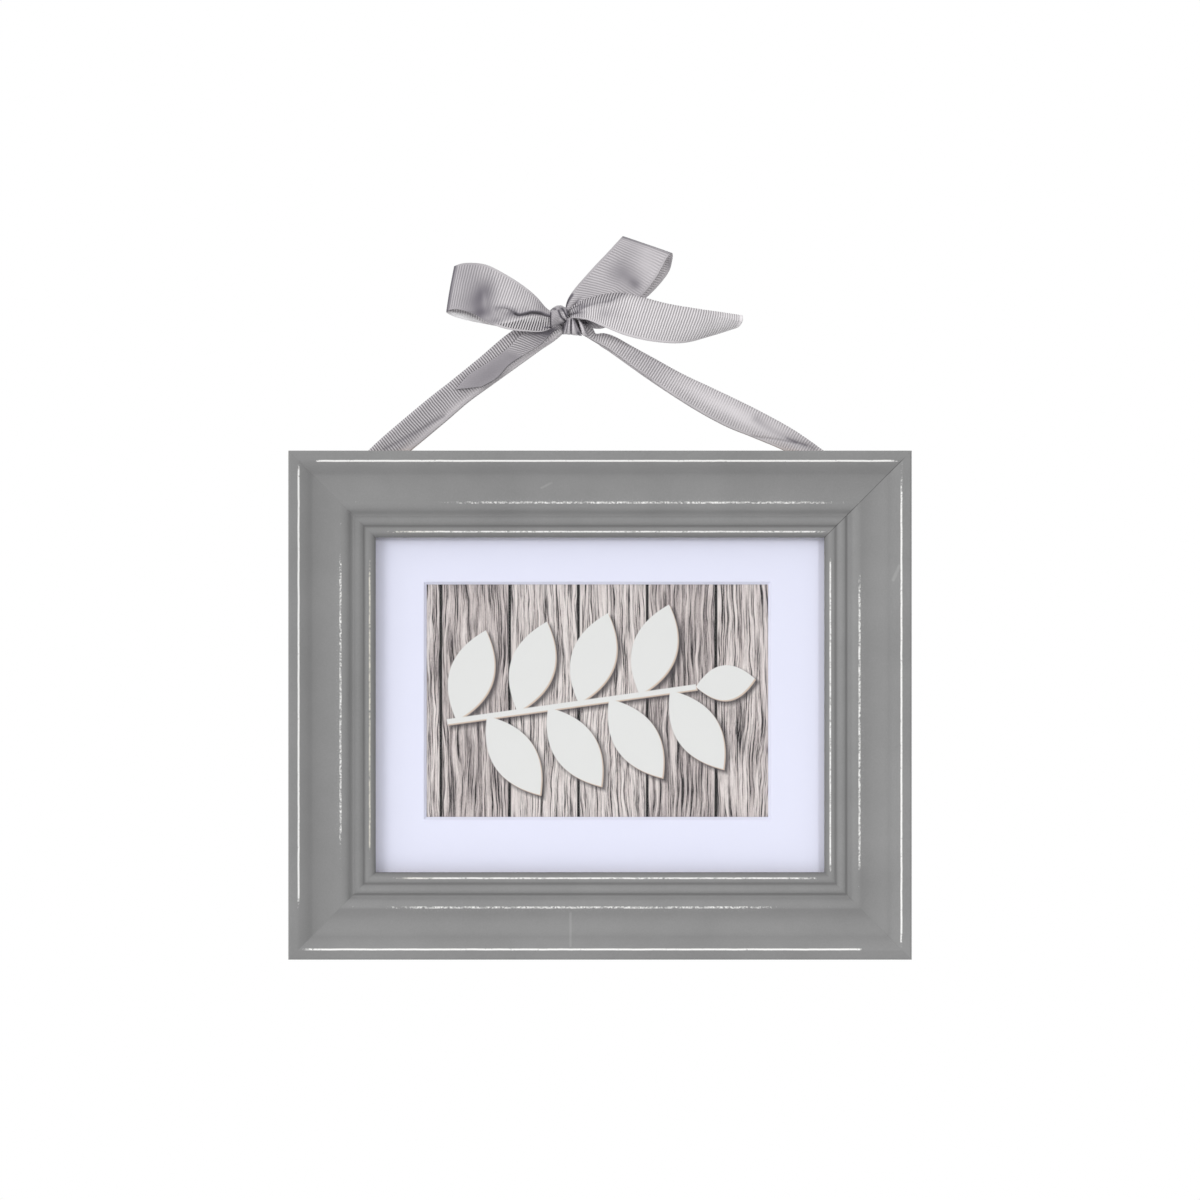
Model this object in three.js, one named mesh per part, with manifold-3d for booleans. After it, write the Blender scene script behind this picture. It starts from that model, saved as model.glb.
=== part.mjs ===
// A wooden picture frame for a 15 by 20 cm pane, hung by a grosgrain ribbon that is tied in a bow.
// Millimetres, +Z up, the picture faces -Y. The origin is the point of the ribbon that lies on the nail.

import * as THREE from 'three';
import { mergeVertices } from 'three/addons/utils/BufferGeometryUtils.js';
import Module from 'manifold-3d';

// Picture stack
const glassWidth = 200;
const glassHeight = 152;
const glassThickness = 2;
const matThickness = 1.5;
const matBevel = 1.2;
const windowWidth = 144;
const windowHeight = 98;
const windowShift = -1.1;
const windowRise = 1.7;
const printOverlap = 3;
const printThickness = 0.4;
const backingThickness = 3;
const paneFit = 0.6;
const layerGap = 0.25;

// Moulding, measured inwards from the outer edge and forwards from the back
const railFace = 36.2;
const rebateLip = 6;
const lipThickness = 3.4;
const outerRound = 0.8;
const bandWidth = 4;
const rollWidth = 5.6;
const rollDrop = 2.8;
const coveDip = 1.9;
const crestRise = 0.8;
const shoulderWidth = 5.4;
const shoulderDrop = 3.1;
const beadWidth = 4.5;
const beadRise = 1;
const beadStep = 0.8;
const sightBeadWidth = 4.6;
const sightBeadRise = 0.9;
const sightBeadDrop = 0.9;
const mitreGap = 0.2;

// V-nails across the mitres
const nailLeg = 7;
const nailThickness = 0.9;
const nailDepth = 9;
const nailAngle = THREE.MathUtils.degToRad(48);
const outerNailSetback = 9.5;
const innerNailInset = 10.2;
const nailSink = 0.2;
const nailClearance = 0.3;

// Turn buttons on the back
const buttonReach = 17;
const buttonRadius = 4.5;
const buttonTipRadius = 3.6;
const buttonThickness = 1.2;
const buttonSetback = 7;
const buttonSpacing = 76;

// Screws
const screwRadius = 1.4;
const screwLength = 11;
const screwHeadRadius = 3.1;
const screwHeadHeight = 1.5;
const screwRecessWidth = 0.8;
const screwRecessDepth = 0.8;
const screwClearance = 0.3;
const seatGap = 0.3;

// Strap hangers and D-rings
const strapSideGap = 2.3;
const strapThickness = 1;
const strapTail = 6;
const strapScrewDrop = 11;
const strapSweep = THREE.MathUtils.degToRad(255);
const wireRadius = 1.1;
const wireClearance = 0.3;
const ringRadius = 9;
const ringCorner = 2.2;
const ringBelowTop = 21;

// Ribbon
const ribbonThickness = 0.6;
const strandClearance = 0.9;
const eyeHalfAngle = THREE.MathUtils.degToRad(26);
const eyeWidth = 6;
const strandAngle = THREE.MathUtils.degToRad(36.5);
const knotLength = 16;
const knotRadius = 6.8;
const knotFlatten = 0.85;
const knotTilt = THREE.MathUtils.degToRad(14);
const knotCentre = [-13.4, -3.7, 11.4];
const knotGap = 0.3;
const nailToFrame = 44;

// Sizes that follow from the ones above
const stackDepth = glassThickness + matThickness + printThickness + backingThickness + 4 * layerGap;
const rebateWidth = glassWidth + 2 * paneFit;
const rebateHeight = glassHeight + 2 * paneFit;
const outerWidth = rebateWidth - 2 * rebateLip + 2 * railFace;
const outerHeight = rebateHeight - 2 * rebateLip + 2 * railFace;
const strapRadius = wireRadius + wireClearance + strapThickness / 2;
const ringStandOff = seatGap + strapThickness / 2 + strapRadius;
const ringX = outerWidth / 2 - (railFace - rebateLip) / 2;
const ringZ = outerHeight / 2 - ringBelowTop;
const frameZ = -nailToFrame - outerHeight / 2;
const buttonX = rebateWidth / 2 + buttonSetback;
const innerNailSetback = railFace - rebateLip - innerNailInset;
const strapWidth = 2 * (ringRadius - ringCorner - strapSideGap);
const strapLength = strapScrewDrop + strapTail;
const strandFront = ringStandOff - strandClearance;
const foldRadius = strandFront - ribbonThickness / 2;
const eyeRadius = ringStandOff - seatGap;

const paint = new THREE.MeshStandardMaterial({ color: 0x8f8f8d, roughness: 0.6, metalness: 0 });
const glassLook = new THREE.MeshStandardMaterial({ color: 0xe8f0ee, roughness: 0.05, metalness: 0 });
const matLook = new THREE.MeshStandardMaterial({ color: 0xe6e7f2, roughness: 0.9, metalness: 0 });
const printLook = new THREE.MeshStandardMaterial({ color: 0x9c8c88, roughness: 0.6, metalness: 0 });
const hardboard = new THREE.MeshStandardMaterial({ color: 0x7a5636, roughness: 0.8, metalness: 0 });
const steel = new THREE.MeshStandardMaterial({ color: 0xb4b6b8, roughness: 0.35, metalness: 1 });
const brass = new THREE.MeshStandardMaterial({ color: 0xc6a35c, roughness: 0.35, metalness: 1 });
const grosgrain = new THREE.MeshStandardMaterial({ color: 0xb9b6ba, roughness: 0.7, metalness: 0 });

const wasm = await Module();
wasm.setup();

// Joining and cutting

function toSolid(geometry) {
  const bare = geometry.clone();
  bare.deleteAttribute('normal');
  bare.deleteAttribute('uv');
  const merged = mergeVertices(bare, 1e-4);
  const vertProperties = new Float32Array(merged.attributes.position.array);
  const triVerts = new Uint32Array(merged.index.array);
  return new wasm.Manifold(new wasm.Mesh({ numProp: 3, vertProperties, triVerts }));
}

function toGeometry(solid) {
  const mesh = solid.getMesh();
  const geometry = new THREE.BufferGeometry();
  geometry.setAttribute('position', new THREE.BufferAttribute(new Float32Array(mesh.vertProperties), 3));
  geometry.setIndex(new THREE.BufferAttribute(new Uint32Array(mesh.triVerts), 1));
  geometry.computeVertexNormals();
  return geometry;
}

function cut(geometry, cutters) {
  const start = toSolid(geometry);
  return toGeometry(cutters.reduce((solid, cutter) => solid.subtract(toSolid(cutter)), start));
}

function join(geometry, other) {
  return toGeometry(toSolid(geometry).add(toSolid(other)));
}

// A closed surface from its points and triangles, with its faces turned outwards
function closedSurface(points, triangles) {
  const volume = triangles.reduce((sum, [a, b, c]) => {
    const normal = points[b].clone().cross(points[c]);
    return sum + points[a].dot(normal);
  }, 0);
  const index = triangles.flatMap(([a, b, c]) => (volume > 0 ? [a, b, c] : [a, c, b]));
  const geometry = new THREE.BufferGeometry().setFromPoints(points);
  geometry.setIndex(index);
  geometry.computeVertexNormals();
  return geometry;
}

function addMesh(parent, name, geometry, material) {
  const mesh = new THREE.Mesh(geometry, material);
  mesh.name = name;
  parent.add(mesh);
  return mesh;
}

function vector([x, y, z]) {
  return new THREE.Vector3(x, y, z);
}

function extrude(shape, depth, curveSegments = 8) {
  return new THREE.ExtrudeGeometry(shape, { depth, steps: 1, bevelEnabled: false, curveSegments });
}

// A plate drawn in X and Z, with its back at y = 0 and its depth towards -Y
function plate(shape, depth, curveSegments) {
  return extrude(shape, depth, curveSegments).rotateX(Math.PI / 2);
}

// A flat strip bent along a path: the path is offset to both sides by half the thickness
function stripShape(path, thickness) {
  const left = [];
  const right = [];
  path.forEach((point, i) => {
    const last = path.length - 1;
    const arriving = point.clone().sub(path[Math.max(i - 1, 0)]).normalize();
    const leaving = path[Math.min(i + 1, last)].clone().sub(point).normalize();
    const along = arriving.clone().add(leaving).normalize();
    const spread = i > 0 && i < last ? along.dot(leaving) : 1;
    const side = new THREE.Vector2(-along.y, along.x).multiplyScalar(thickness / 2 / spread);
    left.push(point.clone().add(side));
    right.push(point.clone().sub(side));
  });
  return new THREE.Shape([...left, ...right.reverse()]);
}

// Rails

// The moulding's section: x is the distance in from the outer edge, y the height above the back
function railSection() {
  const sightHeight = stackDepth + lipThickness;
  const beadFoot = sightHeight + sightBeadDrop;
  const shoulderFoot = beadFoot + beadStep;
  const crest = shoulderFoot + shoulderDrop;
  const rollFoot = crest - crestRise + coveDip;
  const top = rollFoot + rollDrop;
  const rollEnd = bandWidth + rollWidth;
  const sightBeadStart = railFace - sightBeadWidth;
  const beadStart = sightBeadStart - beadWidth;
  const crestAt = beadStart - shoulderWidth;
  const section = new THREE.Shape();
  section.moveTo(0, 0);
  section.lineTo(0, top - outerRound);
  section.quadraticCurveTo(0, top, outerRound, top);
  section.lineTo(bandWidth, top);
  section.quadraticCurveTo(bandWidth + 0.6 * rollWidth, top - 0.35 * rollDrop, rollEnd, rollFoot);
  section.quadraticCurveTo((rollEnd + crestAt) / 2, crest - 2 * crestRise, crestAt, crest);
  const slopeAt = crestAt + 0.68 * shoulderWidth;
  section.quadraticCurveTo(crestAt + 0.48 * shoulderWidth, crest, slopeAt, crest - 0.52 * shoulderDrop);
  section.quadraticCurveTo(
    beadStart - 0.17 * shoulderWidth,
    shoulderFoot + 0.09 * shoulderDrop,
    beadStart,
    shoulderFoot,
  );
  section.quadraticCurveTo(beadStart + beadWidth / 2, shoulderFoot + 2 * beadRise, sightBeadStart, beadFoot);
  section.quadraticCurveTo(
    sightBeadStart + sightBeadWidth / 2,
    beadFoot + 2 * sightBeadRise,
    railFace,
    sightHeight,
  );
  section.lineTo(railFace, stackDepth);
  section.lineTo(railFace - rebateLip, stackDepth);
  section.lineTo(railFace - rebateLip, 0);
  return section;
}

// A rail lies along X below the frame's centre, and its ends are sheared to the mitre planes
function railBlank(length, offset) {
  const curveSteps = 16;
  const geometry = extrude(railSection(), 1, curveSteps);
  const position = geometry.attributes.position;
  const halfLength = length / 2 - mitreGap / Math.SQRT2;
  for (let i = 0; i < position.count; i += 1) {
    const inward = position.getX(i);
    const height = position.getY(i);
    const side = position.getZ(i) > 0.5 ? 1 : -1;
    position.setXYZ(i, side * (halfLength - inward), -height, inward - offset);
  }
  return geometry;
}

// V-nails

// The nail stands with its point at the origin and its legs opening towards +Z
function nailGeometry(grow, proud) {
  const leg = nailLeg + grow;
  const reach = leg * Math.sin(nailAngle);
  const rise = leg * Math.cos(nailAngle);
  const path = [new THREE.Vector2(-reach, rise), new THREE.Vector2(0, 0), new THREE.Vector2(reach, rise)];
  const shape = stripShape(path, nailThickness + 2 * grow);
  return plate(shape, nailDepth + grow + proud).translate(0, proud, 0);
}

const corners = [
  { name: 'top_left', x: -1, z: 1 },
  { name: 'top_right', x: 1, z: 1 },
  { name: 'bottom_left', x: -1, z: -1 },
  { name: 'bottom_right', x: 1, z: -1 },
];

// Each nail stands on the mitre line, with its point towards the outer corner
const nailSetbacks = { outer: outerNailSetback, inner: innerNailSetback };
const nailPlaces = corners.flatMap((corner) => Object.entries(nailSetbacks).map(([label, setback]) => ({
  name: `v_nail_${corner.name}_${label}`,
  x: corner.x * (outerWidth / 2 - setback),
  z: corner.z * (outerHeight / 2 - setback),
  turn: Math.atan2(-corner.x, -corner.z),
})));

// Screws

// A pan head with a cross recess and a plain shank; the head seats at y = 0 and the shank runs to -Y
function screwGeometry() {
  const pointLength = 2 * screwRadius;
  const profile = [
    [0, -screwLength],
    [0.3 * screwRadius, -screwLength],
    [screwRadius, pointLength - screwLength],
    [screwRadius, 0],
    [screwHeadRadius, 0],
    [screwHeadRadius, 0.45 * screwHeadHeight],
    [0.8 * screwHeadRadius, 0.85 * screwHeadHeight],
    [0.4 * screwHeadRadius, screwHeadHeight],
    [0, screwHeadHeight],
  ].map(([radius, height]) => new THREE.Vector2(radius, height));
  const recess = [0, Math.PI / 2].map((turn) => {
    const slot = new THREE.BoxGeometry(1.3 * screwHeadRadius, 2 * screwRecessDepth, screwRecessWidth);
    return slot.rotateY(turn).translate(0, screwHeadHeight, 0);
  });
  return cut(new THREE.LatheGeometry(profile, 16), recess);
}

function screwHole(x, z) {
  const radius = screwRadius + screwClearance;
  const depth = 2 * (screwLength + screwClearance);
  return new THREE.CylinderGeometry(radius, radius, depth, 16).translate(x, 0, z);
}

// Turn buttons: a round-ended tab that turns on the screw at its outer end
function buttonGeometry() {
  const shape = new THREE.Shape();
  shape.absarc(0, 0, buttonRadius, Math.PI / 2, 1.5 * Math.PI, false);
  shape.absarc(buttonReach, 0, buttonTipRadius, -Math.PI / 2, Math.PI / 2, false);
  const hole = new THREE.Path();
  hole.absarc(0, 0, screwRadius + screwClearance, 0, 2 * Math.PI, true);
  shape.holes.push(hole);
  return plate(shape, buttonThickness, 8).translate(0, buttonThickness, 0);
}

// Strap hangers: a flat strip rolled round the straight side of the ring, which lies on the X axis
function strapGeometry() {
  const steps = 12;
  const roll = Array.from({ length: steps + 1 }, (_, i) => {
    const angle = -Math.PI / 2 + (strapSweep * i) / steps;
    return new THREE.Vector2(strapRadius * Math.cos(angle), strapRadius * Math.sin(angle));
  });
  const path = [new THREE.Vector2(-strapLength, -strapRadius), ...roll];
  const strip = extrude(stripShape(path, strapThickness), strapWidth);
  const upright = new THREE.Matrix4().makeBasis(
    new THREE.Vector3(0, 0, 1),
    new THREE.Vector3(0, 1, 0),
    new THREE.Vector3(-1, 0, 0),
  );
  strip.applyMatrix4(upright).translate(strapWidth / 2, 0, 0);
  return cut(strip, [screwHole(0, -strapScrewDrop)]);
}

// D-rings

function arcPoints(x, z, radius, from, to, steps) {
  return Array.from({ length: steps + 1 }, (_, i) => {
    const angle = from + ((to - from) * i) / steps;
    return new THREE.Vector3(x + radius * Math.cos(angle), 0, z + radius * Math.sin(angle));
  });
}

// The ring's centre line: the straight side on the X axis, two small corners and the bow above it
function ringPath() {
  const cornerX = ringRadius - ringCorner;
  return [
    ...arcPoints(cornerX, ringCorner, ringCorner, -Math.PI / 2, 0, 3),
    ...arcPoints(0, ringCorner, ringRadius, 0, Math.PI, 16).slice(1, -1),
    ...arcPoints(-cornerX, ringCorner, ringCorner, Math.PI, 1.5 * Math.PI, 3),
  ];
}

function ringGeometry() {
  const sides = 10;
  const path = ringPath();
  const forward = new THREE.Vector3(0, 1, 0);
  const points = path.flatMap((point, i) => {
    const before = path[(i + path.length - 1) % path.length];
    const after = path[(i + 1) % path.length];
    const outward = after.clone().sub(before).normalize().cross(forward);
    return Array.from({ length: sides }, (_, k) => {
      const angle = (2 * Math.PI * k) / sides;
      return point.clone()
        .addScaledVector(outward, wireRadius * Math.cos(angle))
        .addScaledVector(forward, wireRadius * Math.sin(angle));
    });
  });
  const triangles = path.flatMap((_, i) => Array.from({ length: sides }, (__, k) => {
    const next = (i + 1) % path.length;
    const a = i * sides + k;
    const b = i * sides + ((k + 1) % sides);
    const c = next * sides + ((k + 1) % sides);
    const d = next * sides + k;
    return [[a, b, c], [a, c, d]];
  }).flat());
  return closedSurface(points, triangles);
}

// A round rod along the ring's bow, centred on the direction in which a strand pulls
function bowRod(radius, direction, halfAngle, sides) {
  const from = direction - halfAngle;
  const curve = new THREE.CatmullRomCurve3(
    arcPoints(0, ringCorner, ringRadius, from, from + 2 * halfAngle, 8),
  );
  const circle = new THREE.Shape();
  circle.absarc(0, 0, radius, 0, 2 * Math.PI, false);
  return new THREE.ExtrudeGeometry(circle, {
    steps: 10,
    extrudePath: curve,
    bevelEnabled: false,
    curveSegments: sides / 2,
  });
}

// Ribbon

// A strip of cloth from a grid of points on its middle surface, given half its thickness to both sides
function ribbonSolid(grid) {
  const lastRow = grid.length - 1;
  const lastColumn = grid[0].length - 1;
  const clamp = THREE.MathUtils.clamp;
  const at = (row, column) => grid[clamp(row, 0, lastRow)][clamp(column, 0, lastColumn)].clone();
  const normals = grid.map((line, row) => line.map((_, column) => {
    const along = at(row + 1, column).sub(at(row - 1, column));
    const across = at(row, column + 1).sub(at(row, column - 1));
    return along.cross(across).setLength(ribbonThickness / 2);
  }));
  const face = (side) => grid.flatMap((line, row) => line.map((point, column) => (
    point.clone().addScaledVector(normals[row][column], side)
  )));
  const front = face(1);
  const back = face(-1);
  const frontAt = ([row, column]) => row * (lastColumn + 1) + column;
  const backAt = ([row, column]) => front.length + frontAt([row, column]);
  const quad = (a, b, c, d) => [[a, b, c], [a, c, d]];
  const cells = [];
  for (let row = 0; row < lastRow; row += 1) {
    for (let column = 0; column < lastColumn; column += 1) {
      cells.push([[row, column], [row, column + 1], [row + 1, column + 1], [row + 1, column]]);
    }
  }
  const rim = [
    ...grid[0].slice(1).map((_, column) => [0, column]),
    ...grid.slice(1).map((_, row) => [row, lastColumn]),
    ...grid[0].slice(1).map((_, column) => [lastRow, lastColumn - column]),
    ...grid.slice(1).map((_, row) => [lastRow - row, 0]),
  ];
  const triangles = [
    ...cells.flatMap((cell) => quad(...cell.map(frontAt))),
    ...cells.flatMap((cell) => quad(...cell.map(backAt).reverse())),
    ...rim.flatMap((here, i) => {
      const next = rim[(i + 1) % rim.length];
      return quad(frontAt(here), backAt(here), backAt(next), frontAt(next));
    }),
  ];
  return closedSurface([...front, ...back], triangles);
}

function smoothLine(points) {
  return new THREE.CatmullRomCurve3(points.map(vector), false, 'catmullrom', 0.5);
}

// A strip between two edges, bulged along its normal by the third value of each station
function bulgedGrid(stations, rowsPerSpan, columns) {
  const first = smoothLine(stations.map(([edge]) => edge));
  const second = smoothLine(stations.map(([, edge]) => edge));
  const bulge = smoothLine(stations.map(([, , height]) => [height, 0, 0]));
  const rows = (stations.length - 1) * rowsPerSpan;
  const step = 0.5 / rows;
  const middle = (t) => {
    const clamped = THREE.MathUtils.clamp(t, 0, 1);
    return first.getPoint(clamped).add(second.getPoint(clamped)).multiplyScalar(0.5);
  };
  return Array.from({ length: rows + 1 }, (_, row) => {
    const t = row / rows;
    const start = first.getPoint(t);
    const width = second.getPoint(t).sub(start);
    const along = middle(t + step).sub(middle(t - step));
    const normal = along.cross(width).normalize();
    const height = bulge.getPoint(t).x;
    return Array.from({ length: columns + 1 }, (__, column) => {
      const v = column / columns;
      return start.clone().addScaledVector(width, v).addScaledVector(normal, height * 4 * v * (1 - v));
    });
  });
}

// A strand folded in half along its length, with the fold on its upper side. A station is the middle
// of the folded strand and its folded width
function foldedGrid(stations, rowsPerSpan) {
  const line = smoothLine(stations.map(([point]) => point));
  const widths = smoothLine(stations.map(([, width]) => [width, 0, 0]));
  const rows = (stations.length - 1) * rowsPerSpan;
  const viewer = new THREE.Vector3(0, -1, 0);
  const bends = 6;
  return Array.from({ length: rows + 1 }, (_, row) => {
    const t = row / rows;
    const centre = line.getPoint(t);
    const sideways = line.getTangent(t).cross(viewer).normalize();
    const upper = sideways.multiplyScalar(Math.sign(sideways.z));
    const half = widths.getPoint(t).x / 2;
    const place = (height, depth) => centre.clone()
      .addScaledVector(upper, height)
      .addScaledVector(viewer, depth);
    const fold = Array.from({ length: bends + 1 }, (__, i) => {
      const angle = Math.PI / 2 - (Math.PI * i) / bends;
      return place(half - foldRadius + foldRadius * Math.cos(angle), foldRadius * Math.sin(angle));
    });
    return [place(-half, foldRadius), ...fold, place(-half, -foldRadius)];
  });
}

// The knot's wraps: a barrel along X whose width swells over each turn of the ribbon
function knotGeometry(grow) {
  const half = knotLength / 2 + grow;
  const profile = [
    [0, -half],
    [0.56 * knotRadius + grow, -half],
    [0.86 * knotRadius + grow, -0.62 * half],
    [0.8 * knotRadius + grow, -0.36 * half],
    [knotRadius + grow, -0.06 * half],
    [0.9 * knotRadius + grow, 0.3 * half],
    [0.96 * knotRadius + grow, 0.58 * half],
    [0.6 * knotRadius + grow, half],
    [0, half],
  ].map(([radius, height]) => new THREE.Vector2(radius, height));
  const barrel = new THREE.LatheGeometry(profile, 20);
  barrel.rotateZ(-Math.PI / 2).scale(1, knotFlatten, 1).rotateY(knotTilt);
  return barrel.translate(...knotCentre);
}

// Stations of the loops and tails: one edge, the other edge, and how far the strip bulges between them.
// The bow lies in front of the strands, and y is measured from there
const leftLoop = [
  [[-19.1, -5.2, 13.9], [-18.6, -5.2, 9.5], 0],
  [[-24.6, -7.7, 18.3], [-24.1, -7.7, 6.9], 0.6],
  [[-33.1, -10.2, 26.2], [-33.1, -9.7, 7.2], 1],
  [[-44.1, -11.4, 32.5], [-44.1, -10.7, 9.7], 1],
  [[-54.2, -10.9, 35.6], [-55.2, -10.4, 11.8], 0.6],
  [[-61.7, -7.2, 34.4], [-65.1, -7.2, 14.2], 0.2],
  [[-56.3, -3.6, 35], [-57.8, -3.4, 12.2], 0.1],
  [[-44.2, -2.6, 31.5], [-45.2, -2.6, 9.4], 0.2],
  [[-33.2, -2.4, 24.5], [-33.2, -2.4, 7.4], 0.2],
  [[-24.1, -2.8, 16.9], [-23.6, -2.8, 7.6], 0.1],
  [[-18.6, -3.2, 13.4], [-18.6, -3.2, 10], 0],
];
const rightLoop = [
  [[-10.5, -5, 11.5], [-14.3, -5, 14.5], 0],
  [[3.5, -6.2, 13], [-12.4, -6.2, 22.6], 0.3],
  [[13, -8, 19.3], [-4.8, -8.7, 31.9], 0.5],
  [[21.6, -8.6, 28.8], [3.4, -9.2, 40.6], 0.5],
  [[27.3, -7.7, 37.4], [8.2, -7.7, 45.6], 0.3],
  [[30.7, -5.2, 39.7], [9.9, -5.2, 47.3], 0.1],
  [[30.8, -2.8, 37], [7.5, -3, 44.3], 0.1],
  [[28.1, -1.8, 30.3], [1.5, -2.2, 37.5], 0.2],
  [[18.6, -1.8, 20.1], [-5.5, -2.2, 29], 0.2],
  [[2, -2.2, 8.2], [-12, -2.5, 20.4], 0.1],
  [[-10.9, -3, 10.6], [-14.3, -3, 14.2], 0],
];
const rightTail = [
  [[-12, -6.6, 15.1], [-12, -6.8, 12.3], 0],
  [[-3, -9.2, 20.5], [-3, -10, 10.5], -0.4],
  [[5, -10.8, 22.6], [5, -11.6, 7.2], -0.8],
  [[14, -11.6, 22.1], [15, -12.4, 4], -1.2],
  [[25.1, -11.8, 19.5], [27.1, -12.2, 2.3], -1.5],
  [[37.9, -11.8, 17], [38.1, -10.2, 2.8], -1.5],
  [[49.1, -11.4, 14.9], [48.7, -6.2, 5.7], -1.2],
  [[60.1, -10.8, 13.1], [57.4, -2.7, 8], -0.8],
];
const leftTail = [
  [[-16.1, -4.8, 9.5], [-16.1, -2.6, 9], 0],
  [[-22.6, -6.2, 4.7], [-20.6, -2, 3.2], 0],
  [[-29.1, -8.8, 0.8], [-27.1, -1.2, -1.4], 0.3],
  [[-37.9, -10.8, -5.5], [-34.6, -1, -7], 0.6],
  [[-45.9, -11.6, -9.7], [-42.4, -1, -12.3], 0.6],
  [[-60.7, -11.8, -17.8], [-50.7, -1, -16.7], 0.4],
];

// Where a strand meets the bow of its ring; side is -1 on the left and 1 on the right
function ringContact(side) {
  return [
    side * (ringX - ringRadius * Math.cos(strandAngle)),
    0,
    frameZ + ringZ + ringCorner + ringRadius * Math.sin(strandAngle),
  ];
}

// Stations of the strands: the share of the way from the knot to the ring, the height above the straight
// line between them, the place in depth, and the folded width
const leftStrand = [
  [0, 0, -3.8, 5],
  [0.08, 0.9, -0.2, 9],
  [0.178, 3.3, 0, 13.4],
  [0.369, 2.7, 0, 12.5],
  [0.562, 1.8, 0, 12.3],
  [0.795, 0, 0, 11.6],
  [0.907, -0.3, 0, 8.5],
  [1, 0, 0, eyeWidth],
];
const rightStrand = [
  [0, 0, -4, 5],
  [0.085, -1.2, -1.2, 5.2],
  [0.136, 0.4, -0.2, 6.8],
  [0.2, 0.3, 0, 6.8],
  [0.309, -0.4, 0, 9.4],
  [0.442, -0.2, 0, 11.5],
  [0.549, 0, 0, 12.6],
  [0.656, 1, 0, 11.6],
  [0.765, 1.9, 0, 9.4],
  [0.903, 0.8, 0, 7.2],
  [1, 0, 0, eyeWidth],
];

// The middle points of a strand and its folded widths
function strandLine(stations, side) {
  const [knotX, , knotZ] = knotCentre;
  const [contactX, , contactZ] = ringContact(side);
  const way = new THREE.Vector2(contactX - knotX, contactZ - knotZ);
  const above = new THREE.Vector2(-way.y, way.x).multiplyScalar(side / way.length());
  return stations.map(([share, height, y, width]) => {
    const x = knotX + share * way.x + height * above.x;
    const z = knotZ + share * way.y + height * above.y;
    return [[x, y, z], width];
  });
}

// A strand's lower end is gathered into a sewn eye round the ring's wire
function strandGeometry(stations, side, knotRoom) {
  const direction = Math.PI / 2 + side * (Math.PI / 2 - strandAngle);
  const place = [side * ringX, 0, frameZ + ringZ];
  const eye = bowRod(eyeRadius, direction, eyeHalfAngle, 12).translate(...place);
  const wireRoom = bowRod(wireRadius + wireClearance, direction, 2 * eyeHalfAngle, 12).translate(...place);
  const strand = ribbonSolid(foldedGrid(strandLine(stations, side), 3));
  return cut(join(strand, eye), [knotRoom, wireRoom]);
}

// The mat's window sits a little above and left of the middle, and widens towards the front, so its
// bevelled edge shows
function windowCutter() {
  const cutter = new THREE.BoxGeometry(1, 2 * matThickness, 1);
  const position = cutter.attributes.position;
  for (let i = 0; i < position.count; i += 1) {
    const y = position.getY(i);
    const widen = matBevel * (0.5 - y / matThickness);
    const x = windowShift + Math.sign(position.getX(i)) * (windowWidth / 2 + widen);
    const z = windowRise + Math.sign(position.getZ(i)) * (windowHeight / 2 + widen);
    position.setXYZ(i, x, y, z);
  }
  return cutter;
}

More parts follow.
